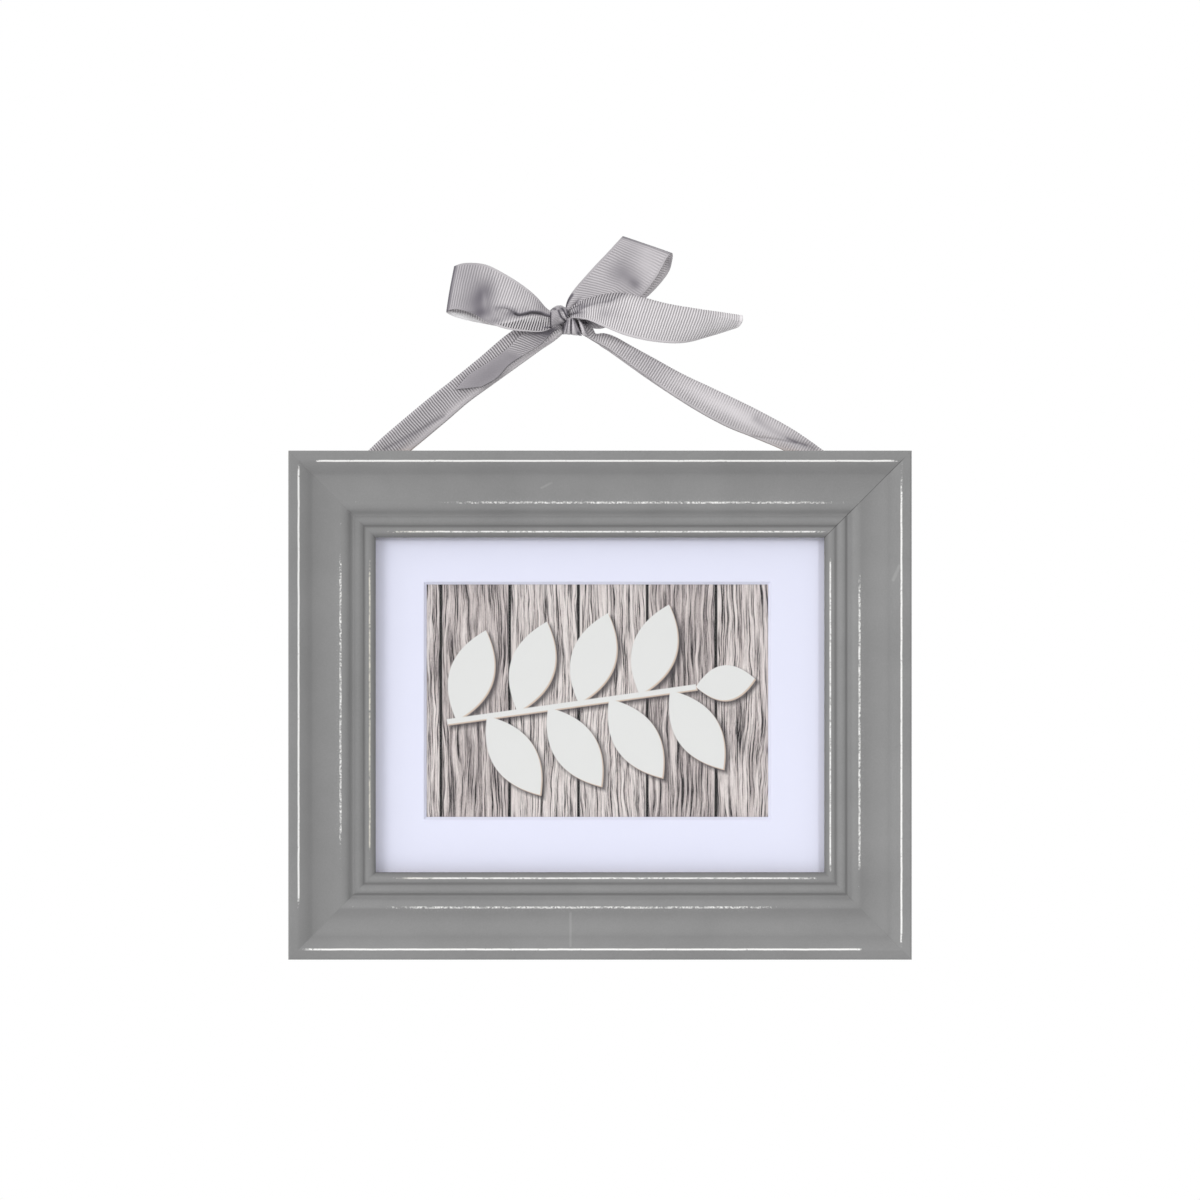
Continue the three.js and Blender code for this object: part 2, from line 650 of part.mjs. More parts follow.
// The frame's own group: y = 0 is the back of the rails and the frame's centre is the origin
function buildFrame() {
  const frame = new THREE.Group();
  frame.position.set(0, -ringStandOff, frameZ);

  const nail = nailGeometry(0, 0);
  const nailRoom = nailGeometry(nailClearance, 1);
  const nailCuts = nailPlaces.map(({ x, z, turn }) => nailRoom.clone()
    .rotateY(turn)
    .translate(x, -nailSink, z));
  nailPlaces.forEach(({ name, x, z, turn }) => {
    const mesh = addMesh(frame, name, nail, steel);
    mesh.position.set(x, -nailSink, z);
    mesh.rotation.y = turn;
  });

  const sides = [{ name: 'left', sign: -1 }, { name: 'right', sign: 1 }];
  const heights = [{ name: 'upper', sign: 1 }, { name: 'lower', sign: -1 }];
  const screwCuts = sides.flatMap((side) => [
    screwHole(side.sign * ringX, ringZ - strapScrewDrop),
    ...heights.map((height) => screwHole(side.sign * buttonX, (height.sign * buttonSpacing) / 2)),
  ]);

  const rails = [
    { name: 'rail_bottom', turn: 0, length: outerWidth, offset: outerHeight / 2 },
    { name: 'rail_left', turn: Math.PI / 2, length: outerHeight, offset: outerWidth / 2 },
    { name: 'rail_top', turn: Math.PI, length: outerWidth, offset: outerHeight / 2 },
    { name: 'rail_right', turn: 1.5 * Math.PI, length: outerHeight, offset: outerWidth / 2 },
  ];
  rails.forEach(({ name, turn, length, offset }) => {
    const cutters = [...nailCuts, ...screwCuts].map((cutter) => cutter.clone().rotateY(-turn));
    const rail = addMesh(frame, name, cut(railBlank(length, offset), cutters), paint);
    rail.rotation.y = turn;
  });

  const glass = new THREE.BoxGeometry(glassWidth, glassThickness, glassHeight);
  const glassY = layerGap - stackDepth + glassThickness / 2;
  addMesh(frame, 'glass_pane', glass, glassLook).position.y = glassY;

  const matY = glassY + (glassThickness + matThickness) / 2 + layerGap;
  const mat = new THREE.BoxGeometry(glassWidth, matThickness, glassHeight);
  addMesh(frame, 'mat_board', cut(mat, [windowCutter()]), matLook).position.y = matY;

  const printY = matY + (matThickness + printThickness) / 2 + layerGap;
  const print = new THREE.BoxGeometry(
    windowWidth + 2 * printOverlap,
    printThickness,
    windowHeight + 2 * printOverlap,
  );
  addMesh(frame, 'print_sheet', print, printLook).position.set(windowShift, printY, windowRise);

  const backing = new THREE.BoxGeometry(glassWidth, backingThickness, glassHeight);
  addMesh(frame, 'backing_board', backing, hardboard).position.y = -backingThickness / 2;

  const screw = screwGeometry();
  const button = buttonGeometry();
  const strap = strapGeometry();
  sides.forEach((side) => {
    heights.forEach((height) => {
      const z = (height.sign * buttonSpacing) / 2;
      const label = `${height.name}_${side.name}`;
      const buttonMesh = addMesh(frame, `turn_button_${label}`, button, steel);
      buttonMesh.position.set(side.sign * buttonX, seatGap, z);
      buttonMesh.rotation.y = side.sign > 0 ? Math.PI : 0;
      const screwMesh = addMesh(frame, `turn_button_screw_${label}`, screw, steel);
      screwMesh.position.set(side.sign * buttonX, 2 * seatGap + buttonThickness, z);
    });
    const strapMesh = addMesh(frame, `strap_hanger_${side.name}`, strap, brass);
    strapMesh.position.set(side.sign * ringX, ringStandOff, ringZ);
    const strapScrew = addMesh(frame, `strap_screw_${side.name}`, screw, brass);
    strapScrew.position.set(side.sign * ringX, 2 * seatGap + strapThickness, ringZ - strapScrewDrop);
  });
  return frame;
}

function buildHanger() {
  const hanger = new THREE.Group();
  const ring = ringGeometry();
  [{ name: 'd_ring_left', sign: -1 }, { name: 'd_ring_right', sign: 1 }].forEach(({ name, sign }) => {
    addMesh(hanger, name, ring, brass).position.set(sign * ringX, 0, frameZ + ringZ);
  });
  const bow = new THREE.Group();
  bow.position.y = -strandFront;
  hanger.add(bow);
  const knotRoom = knotGeometry(knotGap);
  addMesh(bow, 'bow_knot', knotGeometry(0), grosgrain);
  const strips = {
    bow_left_loop: leftLoop,
    bow_right_loop: rightLoop,
    bow_left_tail: leftTail,
    bow_right_tail: rightTail,
  };
  Object.entries(strips).forEach(([name, stations]) => {
    addMesh(bow, name, cut(ribbonSolid(bulgedGrid(stations, 3, 5)), [knotRoom]), grosgrain);
  });
  const strandRoom = knotRoom.clone().translate(0, -strandFront, 0);
  addMesh(hanger, 'ribbon_left_strand', strandGeometry(leftStrand, -1, strandRoom), grosgrain);
  addMesh(hanger, 'ribbon_right_strand', strandGeometry(rightStrand, 1, strandRoom), grosgrain);
  return hanger;
}

const pictureFrame = new THREE.Group();
pictureFrame.add(buildFrame(), buildHanger());

export default pictureFrame;
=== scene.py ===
# Grey rubbed picture frame hung by a grosgrain ribbon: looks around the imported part
import math

import bpy
import numpy as np
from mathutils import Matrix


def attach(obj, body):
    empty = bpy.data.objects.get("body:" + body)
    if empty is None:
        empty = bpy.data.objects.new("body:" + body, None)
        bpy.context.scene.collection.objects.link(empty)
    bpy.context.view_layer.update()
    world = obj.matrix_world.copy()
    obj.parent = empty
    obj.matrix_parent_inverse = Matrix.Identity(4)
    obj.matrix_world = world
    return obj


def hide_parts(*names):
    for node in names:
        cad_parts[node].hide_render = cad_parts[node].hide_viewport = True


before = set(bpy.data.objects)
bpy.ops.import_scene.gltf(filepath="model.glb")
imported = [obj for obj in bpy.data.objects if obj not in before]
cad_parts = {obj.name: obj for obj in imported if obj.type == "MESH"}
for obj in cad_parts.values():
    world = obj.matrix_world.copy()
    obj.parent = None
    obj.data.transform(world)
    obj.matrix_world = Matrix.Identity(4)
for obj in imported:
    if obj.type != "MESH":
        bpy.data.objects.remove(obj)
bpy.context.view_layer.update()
mm = 0.001
scene = bpy.context.scene
scene.view_settings.view_transform = "Standard"
print("frame loaded:", len(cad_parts), "nodes")


# Camera and light

view = dict(distance=4.0, wide=0.504, sensor=36.0, front=-0.0227, level=-0.10664)
light = dict(
    ambient=0.655, lean=0.85, leanTo=(-0.86, 0.54), aim=(0, 0, -0.13), floor=-0.40, floorHalf=0.55,
    lamps=dict(
        keyLamp=dict(place=(-1.98, -2.48, 0.72), energy=23.5, size=1.2),
        fillLamp=dict(place=(1.3, -2.9, 0.55), energy=20.0, size=0.4),
        backLamp=dict(place=(0.7, 1.7, 0.5), energy=8.0, size=1.2),
    ),
)


def setCamera():
    data = bpy.data.cameras.new("photoCamera")
    data.sensor_width = view["sensor"]
    data.lens = view["sensor"] * view["distance"] / view["wide"]
    camera = bpy.data.objects.new("photoCamera", data)
    camera.location = (0, view["front"] - view["distance"], view["level"])
    camera.rotation_euler = (math.pi / 2, 0, 0)
    scene.collection.objects.link(camera)
    scene.camera = camera


def addLamp(name, place, energy, size):
    data = bpy.data.lights.new(name, "AREA")
    data.energy = energy
    data.size = size
    lamp = bpy.data.objects.new(name, data)
    lamp.location = place
    away = lamp.location - type(lamp.location)(light["aim"])
    lamp.rotation_euler = away.to_track_quat("Z", "Y").to_euler()
    scene.collection.objects.link(lamp)


# Shader expressions

class Wire:  # a socket that takes part in sums; each operator adds one Math node
    def __init__(self, look, socket):
        self.look = look
        self.socket = socket

    def math(self, operation, *others):
        return self.look.math(operation, self, *others)

    def __add__(self, other):
        return self.math("ADD", other)

    def __sub__(self, other):
        return self.math("SUBTRACT", other)

    def __rsub__(self, other):
        return self.look.math("SUBTRACT", other, self)

    def __mul__(self, other):
        return self.math("MULTIPLY", other)

    def __truediv__(self, other):
        return self.math("DIVIDE", other)

    def __abs__(self):
        return self.math("ABSOLUTE")

    def clip(self):
        return self.look.math("ADD", self, 0, clamp=True)

    __radd__ = __add__
    __rmul__ = __mul__


class Look:  # a material, or the world, and its nodes
    def __init__(self, owner):
        owner.use_nodes = True
        self.owner = owner
        self.tree = owner.node_tree
        self.tree.nodes.clear()

    def node(self, kind, settings=None, inputs=None):
        made = self.tree.nodes.new(kind)
        for key, value in (settings or {}).items():
            if key == "stops":
                self.setStops(made.color_ramp, value)
            else:
                setattr(made, key, value)
        for key, value in (inputs or {}).items():
            if isinstance(value, Wire):
                self.tree.links.new(value.socket, made.inputs[key])
            else:
                made.inputs[key].default_value = value
        return made

    def setStops(self, ramp, stops):
        while len(ramp.elements) < len(stops):
            ramp.elements.new(0.5)
        for element, (place, colour) in zip(ramp.elements, stops):
            element.position = place
            element.color = (*colour, 1)

    def out(self, made, output=0):
        return Wire(self, made.outputs[output])

    def math(self, operation, *values, clamp=False):
        settings = dict(operation=operation, use_clamp=clamp)
        return self.out(self.node("ShaderNodeMath", settings, dict(enumerate(values))))

    def mix(self, share, first, second):
        inputs = {0: share, 6: opaque(first), 7: opaque(second)}
        return self.out(self.node("ShaderNodeMix", dict(data_type="RGBA"), inputs), 2)

    def ramp(self, value, stops):
        return self.out(self.node("ShaderNodeValToRGB", dict(stops=stops), {0: value}))

    def threeTones(self, value, colours):
        return self.ramp(value, list(zip((0.3, 0.5, 0.7), colours)))

    def vector(self, x, y, z):
        return self.out(self.node("ShaderNodeCombineXYZ", None, {0: x, 1: y, 2: z}))

    def noise(self, place, scale, detail=3.0, rough=0.55):
        inputs = {"Vector": place, "Scale": scale, "Detail": detail, "Roughness": rough}
        return self.out(self.node("ShaderNodeTexNoise", None, inputs))

    def parts(self, place, count):  # the first coordinates of a point, in millimetres
        split = self.node("ShaderNodeSeparateXYZ", None, {0: place})
        return [self.out(split, axis) * (1 / mm) for axis in range(count)]

    def objectPlace(self):  # the point in the object's own frame
        return self.parts(self.out(self.node("ShaderNodeTexCoord"), "Object"), 3)

    def objectVector(self):
        return self.vector(*self.objectPlace())

    def uvPlace(self):  # along and across the surface
        return self.parts(self.out(self.node("ShaderNodeUVMap", dict(uv_map="uv"))), 2)

    def attribute(self, name):
        return self.out(self.node("ShaderNodeAttribute", dict(attribute_name=name)), "Fac")

    def bump(self, height, strength, distance):
        inputs = {"Height": height, "Strength": strength, "Distance": distance * mm}
        return self.out(self.node("ShaderNodeBump", None, inputs))

    def finish(self, surface):
        self.node("ShaderNodeOutputMaterial", None, {"Surface": surface})
        return self.owner

    def principled(self, **sockets):
        inputs = {key.replace("_", " "): opaque(value) for key, value in sockets.items()}
        return self.finish(self.out(self.node("ShaderNodeBsdfPrincipled", None, inputs)))


def opaque(colour):
    return (*colour, 1) if isinstance(colour, tuple) and len(colour) == 3 else colour


def newLook(name):
    return Look(bpy.data.materials.new(name))


def band(value, centre, half):  # 1 on the line, 0 beyond half its width
    return (1 - abs(value - centre) / half).clip()


# World: white for what the camera and the shiny surfaces see, softer for the light on the object

def setWorld():
    scene.world = bpy.data.worlds.new("studio")
    look = Look(scene.world)
    path = look.node("ShaderNodeLightPath")
    seen = look.out(path, "Is Camera Ray").math("MAXIMUM", look.out(path, "Is Glossy Ray"))
    seen = seen.math("MAXIMUM", look.out(path, "Is Transmission Ray"))
    # brighter towards the upper left, as from a large soft box
    direction = look.out(look.node("ShaderNodeTexCoord"), "Generated")
    toward = look.node("ShaderNodeSeparateXYZ", None, {0: direction})
    sideways, upward = light["leanTo"]
    slope = look.out(toward, 0) * sideways + look.out(toward, 2) * upward
    # a mix ends at 1, so the level is halved and its white doubled
    level = (slope * light["lean"] + 1) * (0.5 * light["ambient"])
    shade = look.mix(level, (0, 0, 0), (2, 2, 2))
    soft = look.node("ShaderNodeBackground", None, {"Color": shade, "Strength": 1.0})
    white = look.node("ShaderNodeBackground", None, {"Color": (1, 1, 1, 1), "Strength": 1.0})
    mixed = look.node("ShaderNodeMixShader", None, {0: seen, 1: look.out(soft), 2: look.out(white)})
    look.node("ShaderNodeOutputWorld", None, {"Surface": look.out(mixed)})


def addFloor():
    half = light["floorHalf"]
    corners = [(-half, -half), (half, -half), (half, half), (-half, half)]
    mesh = bpy.data.meshes.new("floor")
    mesh.from_pydata([(x, y, light["floor"]) for x, y in corners], [], [(0, 1, 2, 3)])
    floor = bpy.data.objects.new("floor", mesh)
    scene.collection.objects.link(floor)
    look = newLook("paleFloor")
    mesh.materials.append(look.principled(Base_Color=(0.9, 0.9, 0.9), Roughness=0.9))


setCamera()
setWorld()
for lampName, lamp in light["lamps"].items():
    addLamp(lampName, **lamp)
addFloor()
print("camera, lamps and floor set")


# Meshes from grids

def gridFaces(shape, ringRows=False, ringColumns=False):
    # four-sided faces between neighbours of a grid, which closes on itself along its rows or its columns
    index = np.arange(shape[0] * shape[1]).reshape(shape)
    if ringRows:
        index = np.hstack([index, index[:, :1]])
    if ringColumns:
        index = np.vstack([index, index[:1]])
    corners = [index[:-1, :-1], index[:-1, 1:], index[1:, 1:], index[1:, :-1]]
    return np.stack(corners, axis=-1).reshape(-1, 4)


def addSheet(name, grid, uv, material, values):
    # rows x columns x 3 in millimetres
    return addMesh(name, grid, gridFaces(grid.shape[:2]), uv, material, values)


def addTube(name, grid, uv, material, values):
    # each row is a ring, and the first and last rings are closed by strips
    # that join point k to the last less k
    rows, columns = grid.shape[:2]
    k = np.arange(columns // 2 - 1)
    cap = np.stack([k, columns - 1 - k, columns - 2 - k, k + 1], axis=-1)
    sides = gridFaces((rows, columns), ringRows=True)
    faces = np.vstack([sides, cap, cap[:, ::-1] + (rows - 1) * columns])
    return addMesh(name, grid, faces, uv, material, values)


def addMesh(name, grid, faces, uv, material, values):
    mesh = bpy.data.meshes.new(name)
    mesh.from_pydata((grid.reshape(-1, 3) * mm).tolist(), [], faces.tolist())
    layer = mesh.uv_layers.new(name="uv")
    cornerUv = uv.reshape(-1, 2)[faces.reshape(-1)] * mm
    layer.data.foreach_set("uv", cornerUv.astype(np.float32).reshape(-1))
    for key, value in values.items():
        layer = mesh.attributes.new(key, "FLOAT", "POINT")
        layer.data.foreach_set("value", value.astype(np.float32).reshape(-1))
    mesh.polygons.foreach_set("use_smooth", np.ones(len(mesh.polygons), bool))
    mesh.materials.append(material)
    piece = bpy.data.objects.new(name, mesh)
    scene.collection.objects.link(piece)
    return piece


def smoothLine(points, share):
    # uniform Catmull-Rom through points or single values, with the ends carried on straight
    points = np.asarray(points, float).reshape(len(points), -1)
    padded = np.vstack([2 * points[0] - points[1], points, 2 * points[-1] - points[-2]])
    last = len(points) - 1
    spot = np.clip(share, 0, 1) * last
    cell = np.minimum(spot.astype(int), last - 1)
    w = (spot - cell)[..., None]
    a, b, c, d = (padded[cell + k] for k in range(4))
    return 0.5 * (2 * b + (c - a) * w + (2 * a - 5 * b + 4 * c - d) * w**2 + (3 * b - a - 3 * c + d) * w**3)


def unit(vectors):
    return vectors / np.maximum(np.linalg.norm(vectors, axis=-1, keepdims=True), 1e-9)


def bell(value, centre, wide):  # a smooth bump of height 1
    return np.exp(-0.5 * ((value - centre) / wide) ** 2)


def rise(value, start, end):  # smooth step from 0 at start to 1 at end
    share = np.clip((value - start) / (end - start), 0, 1)
    return share * share * (3 - 2 * share)


# Rails: the CAD solids show bare wood behind, and a coat of paint lies over their fronts and edges

rail = dict(
    halfWidth=130.8, halfHeight=106.8, centre=-150.8, back=-2.7, face=36.2, sightHeight=11.3,
    beadFoot=12.2, shoulderFoot=13.0, crest=16.1, rollFoot=17.2, top=20.0, rebate=7.9,
    bandWidth=4.0, rollEnd=9.6, crestAt=21.7, beadStart=27.1, sightStart=31.6, round=0.8, roundSteps=5,
    bandMiddle=2.2, rollBend=(0.6, 0.35), coveDip=1.6, shoulderStart=0.48, shoulderBend=(0.68, 0.52),
    shoulderEnd=(0.17, 0.09), beadSwell=2.0, sightSwell=1.8, clear=0.1,
    under=0.03, over=0.13, steps=14, pieces=52, uvTurn=400, sharp=math.radians(28),
    spacing=0.3, soften=0.42, window=6, keepOuter=1.8, keepInner=1.4,
)
# rubbed lines: distance in from the edge, half width, and how much noise breaks them up
# hollows: painted shade in the hollows, with distance in, half width and strength of the painted shade
paint = dict(
    # hollow is the colour of the painted shade in the grooves and hollows
    tones=[(0.214, 0.214, 0.214), (0.240, 0.240, 0.240), (0.265, 0.265, 0.265)], hollow=(0.12, 0.12, 0.12),
    worn=(0.86, 0.855, 0.84), gold=(0.60, 0.56, 0.44), crack=(0.05, 0.05, 0.05), crackHalf=0.30,
    lines=dict(arris=(4.2, 0.5, 6.0), crest=(rail["crestAt"], 0.56, 6.5), sight=(33.9, 0.42, 5.5)),
    hollows=[(rail["sightStart"], 0.85, 0.75), (rail["rollEnd"], 2.0, 0.08), (36.3, 2.2, 0.6)],
    # groove: place and half width of the painted shade in the bead's groove; deep: its strength on each
    # rail, stronger on the right and bottom, away from the light
    groove=(rail["beadStart"], 0.85), deep=dict(top=0.15, left=0.1, right=0.85, bottom=0.85),
    dots=(rail["crestAt"] - 0.9, 1.7), goldHalf=1.0,
)
# painted shade on each rail, as the light falls on it: all over, on the flat band, on the roll, and in the
# cove below the crest
railShade = dict(
    top=(0, 0, 0.18, 0), left=(0.10, 0, 0.08, 0), right=(0, 0, 0, 0.08), bottom=(0, 0.14, 0, 0.24),
    flatEnd=(3.5, 4.1), rollAt=(7.0, 2.2), coveAt=(20.2, 2.8), coveEnd=(20.8, 21.8),
)
# start and end of each rubbed line along its rail, how far it fades in and out, and its strength
wear = dict(
    top=dict(arris=(-121, 127, 5, 3, 1.0), crest=(-80, 116, 40, 40, 0.56), sight=(-94, 98, 14, 10, 0.74)),
    left=dict(
        arris=(-237.5, -50.5, 8, 2, 1.0), crest=(-217, -75, 16, 26, 0.56), sight=(-218, -82, 12, 18, 0.70),
    ),
    right=dict(
        arris=(-250.3, -37.0, 1.5, 40, 0.95), crest=(-221, -91, 3, 14, 0.62), sight=(-224, -85, 8, 8, 0.74),
    ),
    bottom=dict(
        arris=(-127.1, 110, 10, 1.5, 1.0), crest=(-100, 86, 30, 30, 0.56), sight=(-90, 96, 10, 10, 0.76),
    ),
)
# faint scuffs on the faces: x and z of their ends, half width and strength
scuffs = [
    ((-12.4, -238.5), (-12.4, -251.9), 0.7, 0.075), ((123.2, -98.2), (125.8, -92.3), 0.9, 0.09),
    ((-24.6, -59.5), (-20.4, -57.4), 0.6, 0.09),
]


def quadratic(start, control, end, steps):
    t = np.linspace(0, 1, steps + 1)[1:, None]
    return (1 - t) ** 2 * np.array(start) + 2 * t * (1 - t) * np.array(control) + t**2 * np.array(end)


def railProfile():
    # distance in from the outer edge and height over the back, from the outer foot to the rebate
    r = rail
    n = r["steps"]
    foot = (0, r["top"] - r["round"])
    flat = (r["bandWidth"], r["top"])
    roll = (r["rollEnd"], r["rollFoot"])
    crest = (r["crestAt"], r["crest"])
    bead = (r["beadStart"], r["shoulderFoot"])
    sight = (r["sightStart"], r["beadFoot"])
    lip = (r["face"], r["sightHeight"])
    line = [np.array([(0, 0), (0, 0.5 * r["top"]), foot])]
    line.append(quadratic(foot, (0, r["top"]), (r["round"], r["top"]), r["roundSteps"]))
    line.append(np.array([(r["bandMiddle"], r["top"]), flat]))
    wide, drop = roll[0] - flat[0], flat[1] - roll[1]
    bend = (flat[0] + r["rollBend"][0] * wide, flat[1] - r["rollBend"][1] * drop)
    line.append(quadratic(flat, bend, roll, n))
    dip = ((roll[0] + crest[0]) / 2, crest[1] - r["coveDip"])
    line.append(quadratic(roll, dip, crest, n))
    wide, drop = bead[0] - crest[0], crest[1] - bead[1]
    slope = (crest[0] + r["shoulderBend"][0] * wide, crest[1] - r["shoulderBend"][1] * drop)
    line.append(quadratic(crest, (crest[0] + r["shoulderStart"] * wide, crest[1]), slope, n))
    lean = (bead[0] - r["shoulderEnd"][0] * wide, bead[1] + r["shoulderEnd"][1] * drop)
    line.append(quadratic(slope, lean, bead, n))
    line.append(quadratic(bead, ((bead[0] + sight[0]) / 2, bead[1] + r["beadSwell"]), sight, n))
    line.append(quadratic(sight, ((sight[0] + lip[0]) / 2, sight[1] + r["sightSwell"]), lip, n))
    line.append(np.array([(lip[0], 0.5 * (lip[1] + r["rebate"])), (lip[0], r["rebate"] + r["clear"])]))
    return np.vstack(line)


def softProfile():
    # the profile at even steps, smoothed between the outer round and the sight edge as thick paint does
    line = railProfile()
    run = np.concatenate([[0], np.cumsum(np.linalg.norm(np.diff(line, axis=0), axis=1))])
    even = np.linspace(0, run[-1], int(run[-1] / rail["spacing"]))
    fine = np.stack([np.interp(even, run, line[:, axis]) for axis in range(2)], axis=1)
    window = rail["window"]
    reach = np.arange(-window, window + 1)
    weight = bell(reach * rail["spacing"], 0, rail["soften"])
    padded = np.pad(fine, ((window, window), (0, 0)), mode="edge")
    moved = [w * padded[window + k:window + k + len(fine)] for k, w in zip(reach, weight)]
    inside = (fine[:, 0] > rail["keepOuter"]) & (fine[:, 0] < rail["face"] - rail["keepInner"])
    return np.where(inside[:, None], sum(moved) / weight.sum(), fine)


def addCoat(side, turn, halfLength, halfAcross, material):
    # the profile, offset twice along its normals into a thin closed ring, is carried along the rail,
    # and its ends are sheared to the mitre: half length less the distance in from the edge
    profile = softProfile()
    along = np.gradient(profile, axis=0)
    normal = unit(np.stack([-along[:, 1], along[:, 0]], axis=1))
    ring = np.vstack([profile + normal * rail["over"], (profile + normal * rail["under"])[::-1]])
    share = np.linspace(-1, 1, rail["pieces"] + 1)[:, None]
    inward = np.broadcast_to(ring[:, 0], (len(share), len(ring)))
    x = share * (halfLength - inward)
    z = inward - halfAcross
    y = np.broadcast_to(rail["back"] - ring[:, 1], x.shape)
    c, s = math.cos(turn), math.sin(turn)
    grid = np.stack([c * x + s * z, y, c * z - s * x + rail["centre"]], axis=-1)
    uv = np.stack([x + rail["uvTurn"] * turn, inward], axis=-1)
    place = grid[..., 0] if side in ("top", "bottom") else grid[..., 2]
    overall, flat, roll, cove = railShade[side]
    # painted shade: each rail's own level, with more on its flat band, its roll and the cove below the
    # crest
    tint = overall + flat * (1 - rise(inward, *railShade["flatEnd"])) + roll * bell(inward, *railShade["rollAt"])
    tint = tint + cove * bell(inward, *railShade["coveAt"]) * (1 - rise(inward, *railShade["coveEnd"]))
    # the painted shade of the groove and of the rail goes along with the rubbed lines
    wearAndShade = dict(groove=np.full(place.shape, paint["deep"][side]), tint=tint)
    for line, (start, end, fadeIn, fadeOut, strength) in wear[side].items():
        wearAndShade[line] = strength * rise(place, start, start + fadeIn) * (1 - rise(place, end - fadeOut, end))
    piece = addTube("paint_coat_" + side, grid, uv, material, wearAndShade)
    piece.data.set_sharp_from_angle(angle=rail["sharp"])
    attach(piece, "frame")


def makeGreyPaint():
    look = newLook("greyRubbedPaint")
    along, inward = look.uvPlace()
    x, y, z = look.objectPlace()
    place = look.vector(x, y, z)
    cloud = look.noise(place, 0.03)
    fine = look.noise(place, 1.6, 3.0, 0.65)
    wander = look.noise(look.vector(along, 0, 0), 0.10, 3.0, 0.6)
    colour = look.threeTones(cloud * 0.6 + fine * 0.4, paint["tones"])
    # painted shade in the grooves and hollows, stronger on the rails away from the light, mixed towards the
    # hollow colour
    hollow = band(inward, *paint["groove"]) * look.attribute("groove")
    for centre, half, strength in paint["hollows"]:
        hollow = hollow.math("MAXIMUM", band(inward, centre, half) * strength)
    # the rail's painted shade joins the painted shade of the hollows
    hollow = hollow.math("MAXIMUM", look.attribute("tint"))
    colour = look.mix(hollow, colour, paint["hollow"])
    # rubbed lines along the arris, the crest and the sight bead, broken by noise where they are weak
    chips = look.noise(look.vector(along * 0.95, inward * 1.2, 0), 1.0, 4.0, 0.75)
    flakes = look.noise(look.vector(along * 0.2, 0, 7.0), 1.0, 2.0)
    stipple = look.noise(look.vector(along * 2.2, inward * 2.2, 5.0), 1.0, 2.0, 0.7)
    patches = look.noise(look.vector(along * 0.05, inward * 0.05, 3.0), 1.0, 2.0)
    stippled = ((stipple - 0.56) * 9).clip() * (look.attribute("crest") * 2 - 0.5).clip()
    worn = stippled * band(inward, *paint["dots"]) * 0.35
    for line, (centre, half, breaks) in paint["lines"].items():
        shape = band(inward + (wander - 0.5) * 0.4, centre, half)
        uneven = (chips - 0.5) * breaks + (flakes - 0.5) * 2 + (patches - 0.5) * 1.2
        held = look.attribute(line) * 2.4 + uneven - 0.90
        worn = worn.math("MAXIMUM", (shape * 1.8).clip() * held.clip())
    # the sight bead's line turns yellow towards the left
    onSight = band(inward, paint["lines"]["sight"][0], paint["goldHalf"])
    yellow = (onSight * 3).clip() * (0 - x / 40 - 1.6).clip()
    colour = look.mix(worn, colour, look.mix(yellow * 0.8, paint["worn"], paint["gold"]))
    for (x0, z0), (x1, z1), half, strength in scuffs:
        # distance from the point to the nearest place on the scuff's line
        spanX, spanZ = x1 - x0, z1 - z0
        share = (((x - x0) * spanX + (z - z0) * spanZ) / (spanX**2 + spanZ**2)).clip()
        missX, missZ = x - x0 - share * spanX, z - z0 - share * spanZ
        mark = (1 - (missX * missX + missZ * missZ) / half**2).clip() * (flakes * 3 - 0.6).clip()
        colour = look.mix(mark * strength, colour, paint["worn"])
    # the mitre has opened to a hairline at the upper right, and shows faintly at the other corners
    sideways = rail["halfWidth"] - abs(x)
    upright = rail["halfHeight"] - abs(z - rail["centre"])
    opened = (x * 0.1).clip() * ((z - rail["centre"]) * 0.1).clip() * ((inward - 2.5) * 0.6).clip()
    joint = band(sideways - upright, 0, paint["crackHalf"]) * (opened * 0.9 + 0.06) * (1.3 - patches * 0.8)
    colour = look.mix(joint, colour, paint["crack"])
    rough = 0.60 - worn * 0.08 + (fine - 0.5) * 0.15
    relief = look.bump(fine * 0.5 - worn * 0.5, 0.12, 0.1)
    return look.principled(Base_Color=colour, Roughness=rough, Normal=relief, Specular_IOR_Level=0.3)


wood = dict(tones=[(0.30, 0.18, 0.085), (0.50, 0.335, 0.18), (0.62, 0.45, 0.27)], pore=(0.24, 0.14, 0.07))


def makeBareWood(name, swapAxes):
    look = newLook(name)
    x, y, z = look.objectPlace()
    along, across = (z, x) if swapAxes else (x, z)
    bend = look.noise(look.vector(along * 0.01, across * 0.03, y * 0.03), 1.0, 2.0)
    grain = look.noise(look.vector(along * 0.02, across * 0.55 + bend * 5, y * 0.5), 1.0, 5.0, 0.6)
    pores = look.noise(look.vector(along * 0.12, across * 3.5, y * 3.5), 1.0, 3.0, 0.7)
    colour = look.threeTones(grain, wood["tones"])
    colour = look.mix((pores - 0.55).clip() * 1.6, colour, wood["pore"])
    relief = look.bump(grain * 0.6 + pores * 0.4, 0.3, 0.2)
    return look.principled(Base_Color=colour, Roughness=0.72 + (pores - 0.5) * 0.2, Normal=relief)


greyPaint = makeGreyPaint()
railTurns = dict(
    bottom=(0.0, "halfWidth", "halfHeight"), left=(math.pi / 2, "halfHeight", "halfWidth"),
    top=(math.pi, "halfWidth", "halfHeight"), right=(1.5 * math.pi, "halfHeight", "halfWidth"),
)
for side, (turn, length, across) in railTurns.items():
    addCoat(side, turn, rail[length], rail[across], greyPaint)


def dress(nodeNames, material):  # gives CAD nodes that stay in view their material
    for nodeName in nodeNames:
        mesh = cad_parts[nodeName].data
        mesh.materials.clear()
        mesh.materials.append(material)


dress(["rail_top", "rail_bottom"], makeBareWood("bareWoodLevel", False))
dress(["rail_left", "rail_right"], makeBareWood("bareWoodUpright", True))
print("rails painted")


# Picture stack and fittings: CAD nodes with better looks

